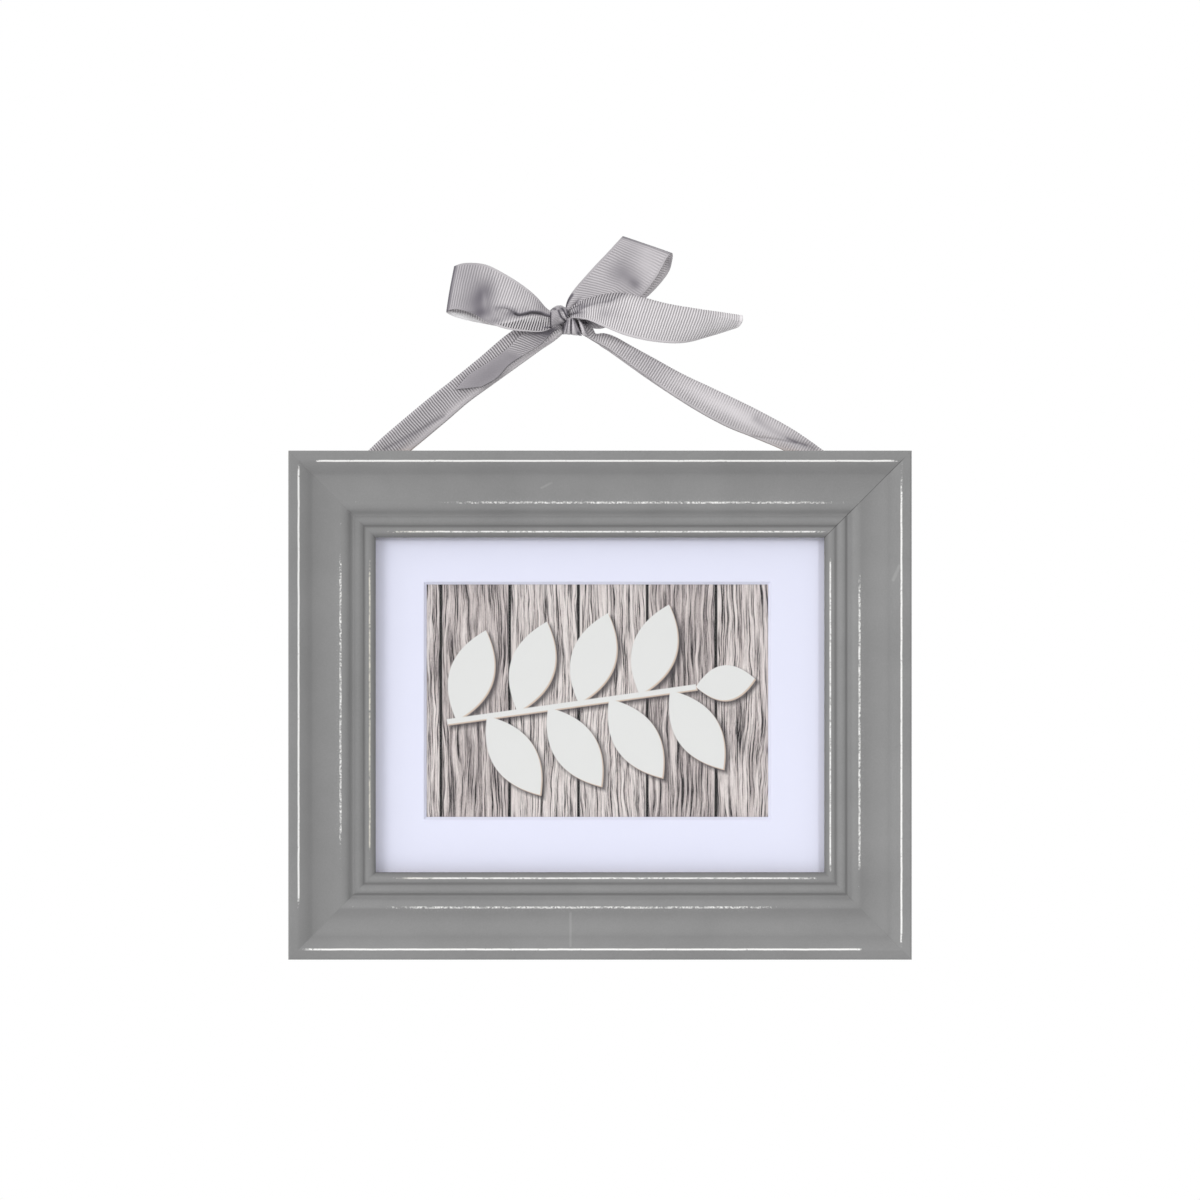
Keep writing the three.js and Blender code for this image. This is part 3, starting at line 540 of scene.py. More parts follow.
picture = dict(
    centre=(-1.1, -149.1), board=29.0, boardShift=0.276, gapHalf=0.4, lean=math.radians(8), period=26.0,
    leafLong=40.0, leafHalf=9.2, leafTurn=math.radians(64), base=-9.0, stemHalf=1.1,
    upperFrom=-64.0, upperTo=40.0, lowerFrom=-51.0, lowerTo=53.0, endLeaf=42.0, endLong=25.0, endHalf=7.36,
    shadowBy=(1.6, -1.5), rimBy=(0.5, -0.5),
    dark=(0.018, 0.015, 0.018), mid=(0.20, 0.168, 0.172), light=(0.575, 0.51, 0.50),
    pale=(0.76, 0.70, 0.685),
    gap=(0.006, 0.005, 0.006), cream=(0.735, 0.735, 0.73), rim=(0.60, 0.48, 0.40),
    shadow=(0.05, 0.042, 0.048),
)


def leafField(look, x, z):
    # over 0 inside a leaf spray: pointed ovals stand in equal cells on both sides of a straight stem
    p = picture
    c, s = math.cos(p["lean"]), math.sin(p["lean"])
    a = x * c + z * s
    b = z * c - x * s

    def leaf(along, across, long, half):
        share = along * (2 / long) - 1
        return (1 - share * share) * half - abs(across)

    def row(shift, side, first, last):
        within = look.math("WRAP", a - shift, p["period"] / 2, -p["period"] / 2)
        out = b * side
        q = within - p["base"]
        c, s = math.cos(p["leafTurn"]), math.sin(p["leafTurn"])
        shape = leaf(q * c + out * s, out * c - q * s, p["leafLong"], p["leafHalf"])
        return shape.math("MINIMUM", a - first).math("MINIMUM", last - a)

    half = p["period"] / 2
    field = row(p["upperFrom"] + half, 1, p["upperFrom"], p["upperTo"])
    field = field.math("MAXIMUM", row(p["lowerFrom"] + half, -1, p["lowerFrom"], p["lowerTo"]))
    stem = (p["stemHalf"] - abs(b)).math("MINIMUM", a - p["upperFrom"]).math("MINIMUM", p["endLeaf"] - a)
    field = field.math("MAXIMUM", stem)
    return field.math("MAXIMUM", leaf(a - p["endLeaf"], b, p["endLong"], p["endHalf"]))


def makePrint():
    # weathered upright boards with a white leaf spray laid on them
    look = newLook("leafPrint")
    p = picture
    worldX, _, worldZ = look.objectPlace()
    x = worldX - p["centre"][0]
    z = worldZ - p["centre"][1]
    boards = x / p["board"] + p["boardShift"]
    order = boards.math("FLOOR")
    inBoard = boards.math("FRACT") * p["board"]
    tone = look.out(look.node("ShaderNodeTexWhiteNoise", dict(noise_dimensions="1D"), {"W": order + 3}))
    warp = look.noise(look.vector(x * 0.05, z * 0.016, order * 5), 1.0, 3.0)
    grain = look.noise(look.vector(x * 0.62 + warp * 7, z * 0.022, order * 7), 1.0, 6.0, 0.68)
    lines = look.noise(look.vector(x * 2.0 + warp * 14, z * 0.035, order * 3), 1.0, 4.0, 0.72)
    fleck = look.noise(look.vector(x * 2.4, z * 1.2, 1), 1.0, 3.0, 0.8)
    level = grain + (fleck - 0.5) * 0.25 + (tone - 0.5) * 0.14
    colour = look.ramp(level, [(0.30, p["mid"]), (0.48, p["light"]), (0.62, p["pale"])])
    streaks = ((0.51 - lines) * 16).clip() * ((0.60 - grain) * 7).clip() * (0.7 + fleck * 0.9)
    colour = look.mix(streaks.clip(), colour, p["dark"])
    edge = inBoard.math("MINIMUM", p["board"] - inBoard)
    colour = look.mix((2.0 - edge / p["gapHalf"]).clip(), colour, p["gap"])
    shadow = leafField(look, x - p["shadowBy"][0], z - p["shadowBy"][1])
    colour = look.mix((shadow * 0.45 + 0.75).clip() * 0.85, colour, p["shadow"])
    rim = leafField(look, x - p["rimBy"][0], z - p["rimBy"][1])
    colour = look.mix((rim * 3 + 0.5).clip(), colour, p["rim"])
    face = leafField(look, x, z)
    colour = look.mix((face * 3 + 0.5).clip(), colour, p["cream"])
    return look.principled(Base_Color=colour, Roughness=0.45 + (fleck - 0.5) * 0.1, Specular_IOR_Level=0.25)


mat = dict(dull=(0.75, 0.758, 0.902), bright=(0.78, 0.788, 0.93))
hardboard = dict(tones=[(0.13, 0.07, 0.035), (0.235, 0.135, 0.07), (0.33, 0.20, 0.11)], mesh=3.2)
zinc = dict(base=(0.70, 0.71, 0.73), deep=(0.48, 0.49, 0.51), rough=0.36)
brass = dict(base=(0.80, 0.60, 0.28), deep=(0.62, 0.42, 0.17), rough=0.30)


def makeMat():
    look = newLook("coolWhiteMat")
    place = look.objectVector()
    fibre = look.noise(place, 2.2, 4.0, 0.7)
    cloud = look.noise(place, 0.05, 2.0)
    colour = look.mix(fibre * 0.5 + cloud * 0.5, mat["dull"], mat["bright"])
    relief = look.bump(fibre, 0.08, 0.1)
    return look.principled(Base_Color=colour, Roughness=0.88 + (fibre - 0.5) * 0.1, Normal=relief)


def makeGlass():
    look = newLook("clearPane")
    smear = look.noise(look.objectVector(), 0.02, 2.0)
    clear = look.node("ShaderNodeBsdfTransparent", None, {"Color": (0.993, 0.995, 0.994, 1)})
    shine = look.node("ShaderNodeBsdfGlossy", None, {"Color": (1, 1, 1, 1), "Roughness": 0.03})
    # the inner faces do not reflect
    outside = 1 - look.out(look.node("ShaderNodeNewGeometry"), "Backfacing")
    amount = look.out(look.node("ShaderNodeFresnel", None, {"IOR": 1.25})) * outside * (0.6 + smear * 0.3)
    mixed = look.node("ShaderNodeMixShader", None, {0: amount, 1: look.out(clear), 2: look.out(shine)})
    return look.finish(look.out(mixed))


def makeHardboard():
    look = newLook("brownHardboard")
    x, y, z = look.objectPlace()
    place = look.vector(x, y, z)
    speck = look.noise(place, 1.3, 5.0, 0.75)
    cloud = look.noise(place, 0.03, 2.0)
    colour = look.threeTones(speck * 0.7 + cloud * 0.3, hardboard["tones"])
    mesh = (x * hardboard["mesh"]).math("SINE") * (z * hardboard["mesh"]).math("SINE")
    relief = look.bump(mesh * 0.5 + speck * 0.5, 0.25, 0.15)
    return look.principled(Base_Color=colour, Roughness=0.78 + (speck - 0.5) * 0.2, Normal=relief)


def makeMetal(name, base, deep, rough):
    look = newLook(name)
    x, y, z = look.objectPlace()
    cloud = look.noise(look.vector(x, y, z), 0.35)
    brush = look.noise(look.vector(x * 0.4, y * 3, z * 3), 1.0, 3.0, 0.6)
    colour = look.mix(cloud * 0.6 + brush * 0.4, deep, base)
    relief = look.bump(brush, 0.08, 0.05)
    rough = rough + (cloud - 0.5) * 0.25
    return look.principled(Base_Color=colour, Metallic=1.0, Roughness=rough, Normal=relief)


corners = ["top_left", "top_right", "bottom_left", "bottom_right"]
places = ["upper_left", "upper_right", "lower_left", "lower_right"]
zincNodes = ["v_nail_" + corner + depth for corner in corners for depth in ("_outer", "_inner")]
zincNodes += ["turn_button_" + kind + place for place in places for kind in ("", "screw_")]
brassKinds = ["strap_hanger_", "strap_screw_", "d_ring_"]
brassNodes = [kind + side for side in ("left", "right") for kind in brassKinds]
dress(["mat_board"], makeMat())
dress(["print_sheet"], makePrint())
dress(["glass_pane"], makeGlass())
dress(["backing_board"], makeHardboard())
dress(zincNodes, makeMetal("zincPlate", **zinc))
dress(brassNodes, makeMetal("brassPlate", **brass))
print("picture, glass, back and fittings dressed")


# Ribbon: strips of 25 mm grosgrain, gathered into pleats where they enter the knot

ribbon = dict(
    wide=25.0, thick=0.45, pitch=1.1, selvedge=0.9, front=-1.8, knot=(-13.4, 11.4),
    # shaded, black and bright are the colours of the painted shade, the painted deep crease shadow and the
    # painted light
    valley=(0.03, 0.028, 0.032), thread=(0.83, 0.793, 0.815), shaded=(0.155, 0.143, 0.166),
    black=(0.012, 0.011, 0.012), bright=(0.88, 0.87, 0.88),
)


def makeGrosgrain():
    # painted shade and painted light: the value shade leads to the shaded colour at 1, to black at 2 and to
    # the bright one at -1
    look = newLook("silverGrosgrain")
    along, across = look.uvPlace()
    shade = look.attribute("shade")
    ribbed = look.attribute("ribs")
    sway = look.noise(look.vector(along * 0.12, across * 0.3, 0), 1.0, 2.0)
    thread = look.noise(look.vector(along * 1.2, across * 3.0, 0), 1.0, 2.0, 0.6)
    cloud = look.noise(look.objectVector(), 0.12, 2.0)
    turns = (along + (sway - 0.5) * 0.5) * (2 * math.pi / ribbon["pitch"])
    edge = across.math("MINIMUM", ribbon["wide"] - across)
    inside = ((edge - ribbon["selvedge"]) * 3).clip()
    crown = turns.math("COSINE") * 0.5 + 0.5
    relief = look.bump(crown * inside * ribbed, 0.55, 0.16)
    tone = 0.98 - (1 - crown) * inside * ribbed * 0.58 - (1 - inside) * 0.26
    tone = tone + (thread - 0.5) * 0.10 + (cloud - 0.5) * 0.16
    colour = look.mix(tone, ribbon["valley"], ribbon["thread"])
    colour = look.mix(shade.clip(), colour, ribbon["shaded"])
    colour = look.mix((shade - 1).clip(), colour, ribbon["black"])
    colour = look.mix((0 - shade).clip(), colour, ribbon["bright"])
    return look.principled(
        Base_Color=colour, Roughness=0.62 - crown * 0.12, Normal=relief,
        Specular_IOR_Level=0.32, Sheen_Weight=0.12, Sheen_Roughness=0.4,
    )


grosgrain = makeGrosgrain()


def runLength(grid):  # distance gone along the rows, as a mean over the columns
    steps = np.linalg.norm(np.diff(grid, axis=0), axis=-1).mean(axis=1)
    return np.concatenate([[0], np.cumsum(steps)])


def spot(x, z, place, size, turn):  # a soft oval patch of height 1, turned by an angle
    c, s = math.cos(turn), math.sin(turn)
    along = (x - place[0]) * c + (z - place[1]) * s
    across = (z - place[1]) * c - (x - place[0]) * s
    return np.exp(-0.5 * ((along / size[0]) ** 2 + (across / size[1]) ** 2))


def tones(x, z, marks):  # soft patches, each with its place, size, turn and strength
    return sum(strength * spot(x, z, place, size, turn) for place, size, turn, strength in marks)


def crease(x, z, points, wide):  # 1 on a smooth line through the points, fading over its width
    line = smoothLine(points, np.linspace(0, 1, 60))
    gap = np.min(np.hypot(x[..., None] - line[:, 0], z[..., None] - line[:, 1]), axis=-1)
    return np.exp(-0.5 * (gap / wide) ** 2)


def creases(x, z, lines):  # soft lines, each with its points, width and strength
    return sum(strength * crease(x, z, points, wide) for points, wide, strength in lines)


def level(x, points):  # height of a line over x, given by points in order
    return np.interp(x, *zip(*points))


def pleats(v, count, phase):  # round folds side by side with sharp valleys between them
    return np.abs(np.sin(np.pi * (count * v + phase)))


def addRibbon(name, grid, nodes, shade, ribs, slant=0.0):
    shape = grid.shape[:2]
    run = runLength(grid)
    v = np.linspace(0, ribbon["wide"], shape[1])
    uv = np.stack(np.broadcast_arrays(run[:, None] + slant, v[None]), axis=-1)
    values = dict(shade=np.broadcast_to(shade, shape), ribs=np.broadcast_to(ribs, shape))
    piece = addSheet(name, grid, uv, grosgrain, values)
    thicken = piece.modifiers.new("thick", "SOLIDIFY")
    thicken.thickness = ribbon["thick"] * mm
    thicken.offset = 0
    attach(piece, "hanger")
    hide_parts(*nodes)


def stripGrid(stations, rows, columns):
    # rows follow the two edges, columns go from the first edge to the second at share v,
    # and the strip bulges along its normal by the station's third value times 4 v (1 - v)
    t = np.linspace(0, 1, rows)
    v = np.linspace(0, 1, columns)
    first, second, swell = (smoothLine(entry, t) for entry in zip(*stations))
    width = second - first
    normal = unit(np.cross(np.gradient(first + second, axis=0), width))
    bulge = (swell * 4 * v * (1 - v))[..., None]
    grid = first[:, None] + width[:, None] * v[:, None] + normal[:, None] * bulge
    grid[..., 1] += ribbon["front"]
    return t[:, None], v[None], grid, normal[:, None]


leftLoop = dict(
    rows=241, columns=111, turned=(0.575, 0.6), puff=1.9, puffFrom=(-45, -34), puffFade=4.5,
    puffEdge=(-0.35, 0.3), hollow=0.5, hollowAt=(-0.9, 0.9), ridgeUp=0.5, ridgeWide=1.0, dent=1.2,
    base=0.44, paintedLighter=(-54, -43, -0.27), paintedDarker=(-32, -23, 0.12), back=0.28, smoothMost=0.95,
    stripEdge=(0.2, 0.7), stripFrom=(-47, -43), stripShade=-0.10, stripRibs=0.75,
    gleam=-0.2, gleamFrom=(-44, -40), gleamWide=0.4,
    stations=[
        ((-17.6, -5.2, 13.2), (-17.4, -5.2, 9.7), 0), ((-22.5, -7.2, 16.0), (-24, -7.4, 6.6), 0.4),
        ((-27, -9.2, 21.2), (-31.5, -9.2, 6.6), 0.8), ((-32.5, -10.6, 25.8), (-39, -10.2, 7.4), 1),
        ((-39.5, -11.4, 30.3), (-46.5, -10.6, 9.9), 1), ((-48, -11.6, 34.5), (-53.4, -10.8, 13.9), 0.7),
        ((-56.5, -10.2, 35.3), (-60.6, -9.6, 15.9), 0.4), ((-61.3, -7, 34), (-64.6, -7, 14.6), 0.2),
        ((-57, -3.8, 34.7), (-59, -3.6, 12.1), 0.1), ((-44.2, -2.6, 31.5), (-46.8, -2.6, 9.5), 0.2),
        ((-33.2, -2.4, 24.5), (-33.2, -2.4, 7.4), 0.2), ((-24.1, -2.8, 16.4), (-23.6, -2.8, 7.6), 0.1),
        ((-17.6, -3.2, 12.6), (-17.6, -3.2, 10), 0),
    ],
    fold=[
        (-50, 17.2), (-46, 16.6), (-42, 16.7), (-38.8, 16.3), (-36.6, 15.0), (-34.8, 13.7), (-31.3, 14.0),
        (-28.6, 14.6), (-25.3, 14.2), (-22.6, 13.3), (-19, 12.7),
    ],
    ridge=[
        (-47, 9.6), (-42, 10.2), (-38.4, 10.6), (-34.8, 11.4), (-31.9, 12.2), (-29.4, 12.8), (-25, 12.9),
        (-21, 12.4),
    ],
    tones=[
        ((-51.2, 18.6), (4.2, 4.6), -0.25, 0.50), ((-49.0, 24), (2.4, 3.4), 0.1, 0.34),
        ((-50.0, 13.8), (3.0, 1.8), 0.4, 0.34), ((-46.6, 16.2), (1.3, 2.4), 0.1, 0.14),
        ((-43, 10.7), (3.2, 1.0), 0.1, 0.34), ((-48.4, 19.3), (0.8, 3.4), 0.12, -0.14),
        ((-45.4, 12.6), (2.2, 2.0), 0, 0.24), ((-45.6, 24.4), (2.2, 4.2), 0.1, 0.24),
        ((-37.4, 13.1), (3.4, 1.1), -0.25, 0.42), ((-57, 30), (4, 4), 0, 0.10),
        ((-24, 17), (2, 2), 0, 0.20),
    ],
    smooth=[
        ((-51.5, 18), (3.2, 5), -0.2, 1.1), ((-46.5, 13), (1.6, 2.6), 0, 0.7),
        ((-49.4, 24), (1.6, 3), 0, 0.5),
    ],
    creases=[
        (
            [
                (-35.6, 14.0), (-34.1, 13.4), (-31.2, 13.9), (-28.6, 14.5), (-25.3, 14.1), (-23.2, 13.4),
                (-21.8, 13.0),
            ],
            0.42, 1.35,
        ),
        ([(-37.5, 14.4), (-34.5, 13.1), (-31, 13.3), (-28, 13.8), (-25.4, 13.6)], 0.9, 0.28),
        ([(-43.5, 16.2), (-40.5, 16.7), (-38.6, 16.2), (-36.4, 14.9)], 0.75, 0.36),
        ([(-36, 15.4), (-33.4, 15.3), (-31, 15.6)], 0.9, 0.16),
        ([(-61.2, 33.7), (-62.4, 28), (-63.4, 22), (-64.5, 15.4)], 0.6, 0.8),
        ([(-36, 12.6), (-31, 11.9), (-26, 11.9), (-21.4, 11.5)], 1.1, -0.38),
        ([(-20.9, 14.2), (-20.9, 8.2)], 0.22, 1.4), ([(-23.4, 8.3), (-20.4, 8.2)], 0.22, 1.1),
    ],
    inner=[([(-63.6, 15.4), (-57.2, 14.6), (-52.9, 12.9), (-50.3, 11.2), (-47.8, 10.1)], 0.45, 0.9)],
    crescentPaintedLight=[
        ((-61, 14), (3, 1.6), -0.2, -1.0), ((-55, 12.2), (5, 1.5), -0.3, -1.0),
        ((-49, 10.4), (3, 1.0), -0.3, -0.8),
    ],
)
rightLoop = dict(
    rows=221, columns=91, turned=(0.49, 0.53), root=(-12.5, 13), near=(-11, -4), folds=(5.0, 0.1),
    foldShade=0.9, dent=1.1, base=0.24, upper=(0.35, 0.75, 0.14), back=0.26, backPaintedLight=(-4, 2, -0.38),
    backLean=0.6, ribs=0.85, smoothMost=0.8, slant=0.4, slantOver=(0.04, 0.42), slantFrom=0.45,
    stations=[
        ((-10.5, -5, 11.5), (-14.8, -5, 14.8), 0), ((4.5, -6.2, 12.8), (-12.6, -6.2, 21.9), 0.3),
        ((15.2, -8, 19.2), (-4.5, -8.7, 31.6), 0.5), ((23.2, -8.6, 28.6), (3.6, -9.2, 40.2), 0.5),
        ((28, -7.7, 37.1), (8, -7.7, 45), 0.3), ((30.3, -5.2, 39.5), (9.6, -5.2, 46.6), 0.1),
        ((30.5, -2.8, 36.8), (7.3, -3, 43.9), 0.1), ((28.1, -1.8, 30.3), (1.5, -2.2, 37.5), 0.2),
        ((18.6, -1.8, 20.1), (-5.5, -2.2, 29), 0.2), ((2, -2.2, 8.2), (-12, -2.5, 20.4), 0.1),
        ((-10.9, -3, 10.6), (-14.3, -3, 14.2), 0),
    ],
    tones=[
        ((10.7, 30.0), (5.4, 3.8), -0.67, 0.52), ((15.2, 26), (2.3, 1.8), -0.7, 0.34),
        ((19.3, 34), (3, 4), 0.4, 0.07), ((17, 40.5), (5, 3), -0.4, 0.10), ((3, 34), (3, 6), -0.7, -0.10),
    ],
    smooth=[
        ((11.5, 29.2), (4.6, 2.4), -0.67, 1.0), ((19.5, 34), (3.4, 4.4), 0.4, 0.6),
        ((16, 42), (7, 1.4), -0.4, 0.4),
    ],
    creases=[
        ([(9.7, 46.3), (15, 44.7), (20, 43), (25.2, 41.2), (29.8, 39.4)], 0.45, 0.5),
        ([(-15.1, 16.4), (-13.2, 19.6), (-11.6, 22)], 0.4, 0.8),
    ],
    inner=[
        ((29.4, 35.6), (1.3, 2.6), 0, 0.55), ((25.5, 29), (3, 3), 0.6, 0.10),
        ((-6, 11), (3, 1.0), -0.3, 0.5),
    ],
)
rightTail = dict(
    rows=181, columns=101, rollFrom=4.2, rollTo=1.2, rollOver=(0.15, 0.6), rollMost=0.4, rollTurn=2.7,
    faceTurn=1.6, near=(0.04, 0.16), folds=(3.5, 0.3), foldShade=0.5, tuck=4.6, tuckOver=(3, 13),
    tuckEdge=(-0.4, 0.6), tuckLeast=(0.2, 1), base=-0.06, rolledShade=0.35, ribs=1.2, rolledRibs=0.5,
    plainEnd=(0.972, 0.985), widths=[7, 15, 21, 24, 24.5, 23, 17, 11],
    stations=[
        ((-12.6, -6.4, 16.6), (-12, -6.8, 12.3), 0), ((-5, -8.8, 21.2), (-5.5, -9.6, 11.4), 0.4),
        ((6.5, -10.8, 23), (2.5, -11.4, 8), 0.8), ((17, -11.6, 21), (11.5, -12.2, 4.5), 1.2),
        ((28.5, -11.8, 18), (23, -12.2, 2.1), 1.5), ((40.5, -11.8, 15.8), (35, -10.6, 1.7), 1.5),
        ((51, -11.4, 13.6), (46.8, -6.2, 4.8), 1.2), ((60.3, -10.8, 11.2), (57.4, -2.7, 8.2), 0.6),
    ],
    tones=[
        ((2.1, 13.6), (2.6, 1.7), 0.2, 0.38), ((-7.5, 15.5), (2.2, 1.8), 0, 0.15),
        ((8.6, 14), (4, 3), 0, 0.07), ((55, 10), (5, 3), 0, -0.2), ((45, 6), (8, 2.6), 0.2, -0.16),
        ((-9.2, 13.4), (2.2, 1.5), 0.3, 0.48), ((0, 16), (3, 1.2), 0.2, 0.12),
    ],
    creases=[
        ([(-8.4, 16.8), (0, 17.8), (6.3, 19.5), (10.9, 21.5)], 0.7, 0.32),
        ([(-5.5, 11.5), (2.5, 8.1), (11.5, 4.6), (23, 2.2), (35, 1.8), (46.8, 4.9)], 0.35, 0.3),
    ],
)
leftTail = dict(
    rows=121, columns=121, layers=3, deep=2.2, lowerAt=-38, lowerLean=0.55, lowerOver=(-3.5, 1.5),
    base=0.26, lowerShade=0.44, ribs=1.25, lowerRibs=-1.17,
    stations=[
        ((-17, -3.4, 9.7), (-16, -2.8, 8.4)), ((-26.2, -2.8, 8.6), (-19.9, -2.2, 6.6)),
        ((-33.2, -2.6, 5), (-25.2, -1.6, 1.2)), ((-39, -2.6, -0.7), (-31.2, -1.4, -2.6)),
        ((-45.8, -2.6, -5.8), (-38.4, -1.4, -7.4)), ((-54.9, -2.6, -11.6), (-43.5, -1.6, -12.9)),
        ((-60.7, -2.6, -17.8), (-49.7, -1.8, -16.6)),
    ],
    tones=[
        ((-26, 2.5), (3, 2.2), 0.7, 0.25), ((-21, 6), (2.5, 1.5), 0.7, 0.5),
        ((-47, -11.5), (8, 2.6), 0.62, 0.12), ((-24.6, 6.6), (4.5, 1.0), 0.1, 0.72),
        ((-33, -2), (4, 2.5), 0.7, 0.10),
    ],
)


def changes(value, *ramps):  # sum of smooth steps, each with its start, end and height
    return sum(height * rise(value, start, end) for start, end, height in ramps)


def addLeftLoop():
    p = leftLoop
    t, _, grid, normal = stripGrid(p["stations"], p["rows"], p["columns"])
    x, z = grid[..., 0], grid[..., 2]
    front = 1 - rise(t, *p["turned"])
    # the upper part of the front puffs out over a fold, with a hollow under it and then a ridge
    over = z - level(x, p["fold"])
    under = z - level(x, p["ridge"])
    reach = rise(x, *p["puffFrom"]) * front
    step = p["puff"] * np.exp(-np.maximum(over, 0) / p["puffFade"]) * rise(over, *p["puffEdge"])
    step -= p["hollow"] * bell(over, *p["hollowAt"]) * (over < 0)
    step += p["ridgeUp"] * bell(under, 0, p["ridgeWide"])
    # painted shade patches, which also press shallow dents into the cloth
    dark = tones(x, z, p["tones"])
    height = reach * step - p["dent"] * front * np.clip(dark, 0, 1)
    grid += normal * height[..., None]
    # painted shade over the front: lighter towards the left end, darker towards the knot, along the
    # creases, with a painted highlight on the ridge
    base = p["base"] + changes(x, p["paintedLighter"], p["paintedDarker"])
    strip = rise(-under, *p["stripEdge"]) * rise(x, *p["stripFrom"]) * front
    gleam = p["gleam"] * rise(x, *p["gleamFrom"]) * bell(under, 0, p["gleamWide"])
    shade = front * (base + dark + creases(x, z, p["creases"]) + gleam) + p["stripShade"] * strip
    # painted shade on the inside of the loop, with painted light on the crescent below the front's edge
    shade += (1 - front) * (p["back"] + creases(x, z, p["inner"]) + tones(x, z, p["crescentPaintedLight"]))
    ribs = 1 - front * np.clip(tones(x, z, p["smooth"]), 0, p["smoothMost"]) + p["stripRibs"] * strip
    addRibbon("left_loop_cloth", grid, ["bow_left_loop"], shade, ribs)


def addRightLoop():
    p = rightLoop
    t, v, grid, normal = stripGrid(p["stations"], p["rows"], p["columns"])
    x, z = grid[..., 0], grid[..., 2]
    front = 1 - rise(t, *p["turned"])
    # painted shade patches, which also press shallow dents into the cloth
    dark = tones(x, z, p["tones"])
    near = rise(-np.hypot(x - p["root"][0], z - p["root"][1]), *p["near"])
    folds = pleats(v, *p["folds"])
    grid += normal * (folds * near - p["dent"] * front * np.clip(dark, 0, 1))[..., None]
    # painted shade: darker on the upper half, along the creases and in the folds by the knot
    base = p["base"] + changes(v, p["upper"])
    shade = front * (base + dark + creases(x, z, p["creases"])) + near * p["foldShade"] * (1 - folds) ** 2
    # painted shade on the inside of the loop, with painted light towards its right side
    back = p["back"] + changes(x - p["backLean"] * z, p["backPaintedLight"])
    shade += (1 - front) * (tones(x, z, p["inner"]) + back)
    ribs = p["ribs"] - front * np.clip(tones(x, z, p["smooth"]), 0, p["smoothMost"])
    # the ribs bend down towards the knot on the left half
    slant = p["slant"] * (1 - rise(t, *p["slantOver"])) * np.maximum(v - p["slantFrom"], 0) * ribbon["wide"]
    addRibbon("right_loop_cloth", grid, ["bow_right_loop"], shade, ribs, slant=slant)


def addRightTail():
    # the face goes up from the low edge, and its top rolls back over a round of the given radius
    p = rightTail
    t = np.linspace(0, 1, p["rows"])
    v = np.linspace(0, 1, p["columns"])[None]
    top, low, swell = (smoothLine(entry, t) for entry in zip(*p["stations"]))
    wide = smoothLine(p["widths"], t)
    upward = unit(top - low)
    tall = np.linalg.norm(top - low, axis=-1, keepdims=True)
    outward = unit(np.cross(np.gradient(top + low, axis=0), upward))
    radius = p["rollTo"] + (p["rollFrom"] - p["rollTo"]) * (1 - rise(t, *p["rollOver"]))[:, None]
    radius = np.minimum(radius, p["rollMost"] * tall)
    gone = v * wide
    face = np.minimum(gone, tall - radius)
    turn = np.minimum(np.maximum(gone - (tall - radius), 0) / radius, p["rollTurn"])
    rest = np.maximum(gone - (tall - radius) - p["rollTurn"] * radius, 0)
    up = face + radius * np.sin(turn) + rest * np.cos(turn)
    share = np.clip(up / tall, 0, 1)
    out = swell * 4 * share * (1 - share) * (turn < p["faceTurn"])
    out = out + radius * (np.cos(turn) - 1) - rest * np.sin(turn)
    near = (1 - rise(t, *p["near"]))[:, None]
    folds = pleats(v, *p["folds"])
    out = out + folds * near
    grid = low[:, None] + upward[:, None] * up[..., None] + outward[:, None] * out[..., None]
    grid[..., 1] += ribbon["front"]
    x, z = grid[..., 0], grid[..., 2]
    # painted shade and painted light: patches, crease lines, the folds by the knot and the band rolled back
    # at the top
    shade = p["base"] + tones(x, z, p["tones"]) + creases(x, z, p["creases"])
    tucked = p["tuck"] * (1 - rise(x, *p["tuckOver"]))
    rolled = rise(up - tall + tucked, *p["tuckEdge"]) * rise(tucked, *p["tuckLeast"])
    shade += near * p["foldShade"] * (1 - folds) ** 2 + p["rolledShade"] * rolled
    ribs = p["ribs"] * (1 - rise(t, *p["plainEnd"]))[:, None] + p["rolledRibs"] * rolled
    addRibbon("right_tail_cloth", grid, ["bow_right_tail"], shade, ribs)


def addLeftTail():
    # gathered into three layers: across goes over and back as 0.5 - 0.5 cos(3 pi s)
    # while it steps back in depth
    p = leftTail
    t = np.linspace(0, 1, p["rows"])
    s = np.linspace(0, 1, p["columns"])[None]
    left, right = (smoothLine(entry, t) for entry in zip(*p["stations"]))
    across = 0.5 - 0.5 * np.cos(p["layers"] * math.pi * s)
    grid = right[:, None] + (left - right)[:, None] * across[..., None]
    grid[..., 1] += ribbon["front"] + p["deep"] * s
    x, z = grid[..., 0], grid[..., 2]
    lower = 1 - rise(z + p["lowerLean"] * (x - p["lowerAt"]), *p["lowerOver"])
    # painted shade: deeper on the lower part and under the loop, in patches
    shade = p["base"] + p["lowerShade"] * lower + tones(x, z, p["tones"])
    ribs = p["ribs"] + p["lowerRibs"] * lower
    addRibbon("left_tail_cloth", grid, ["bow_left_tail"], shade, ribs)


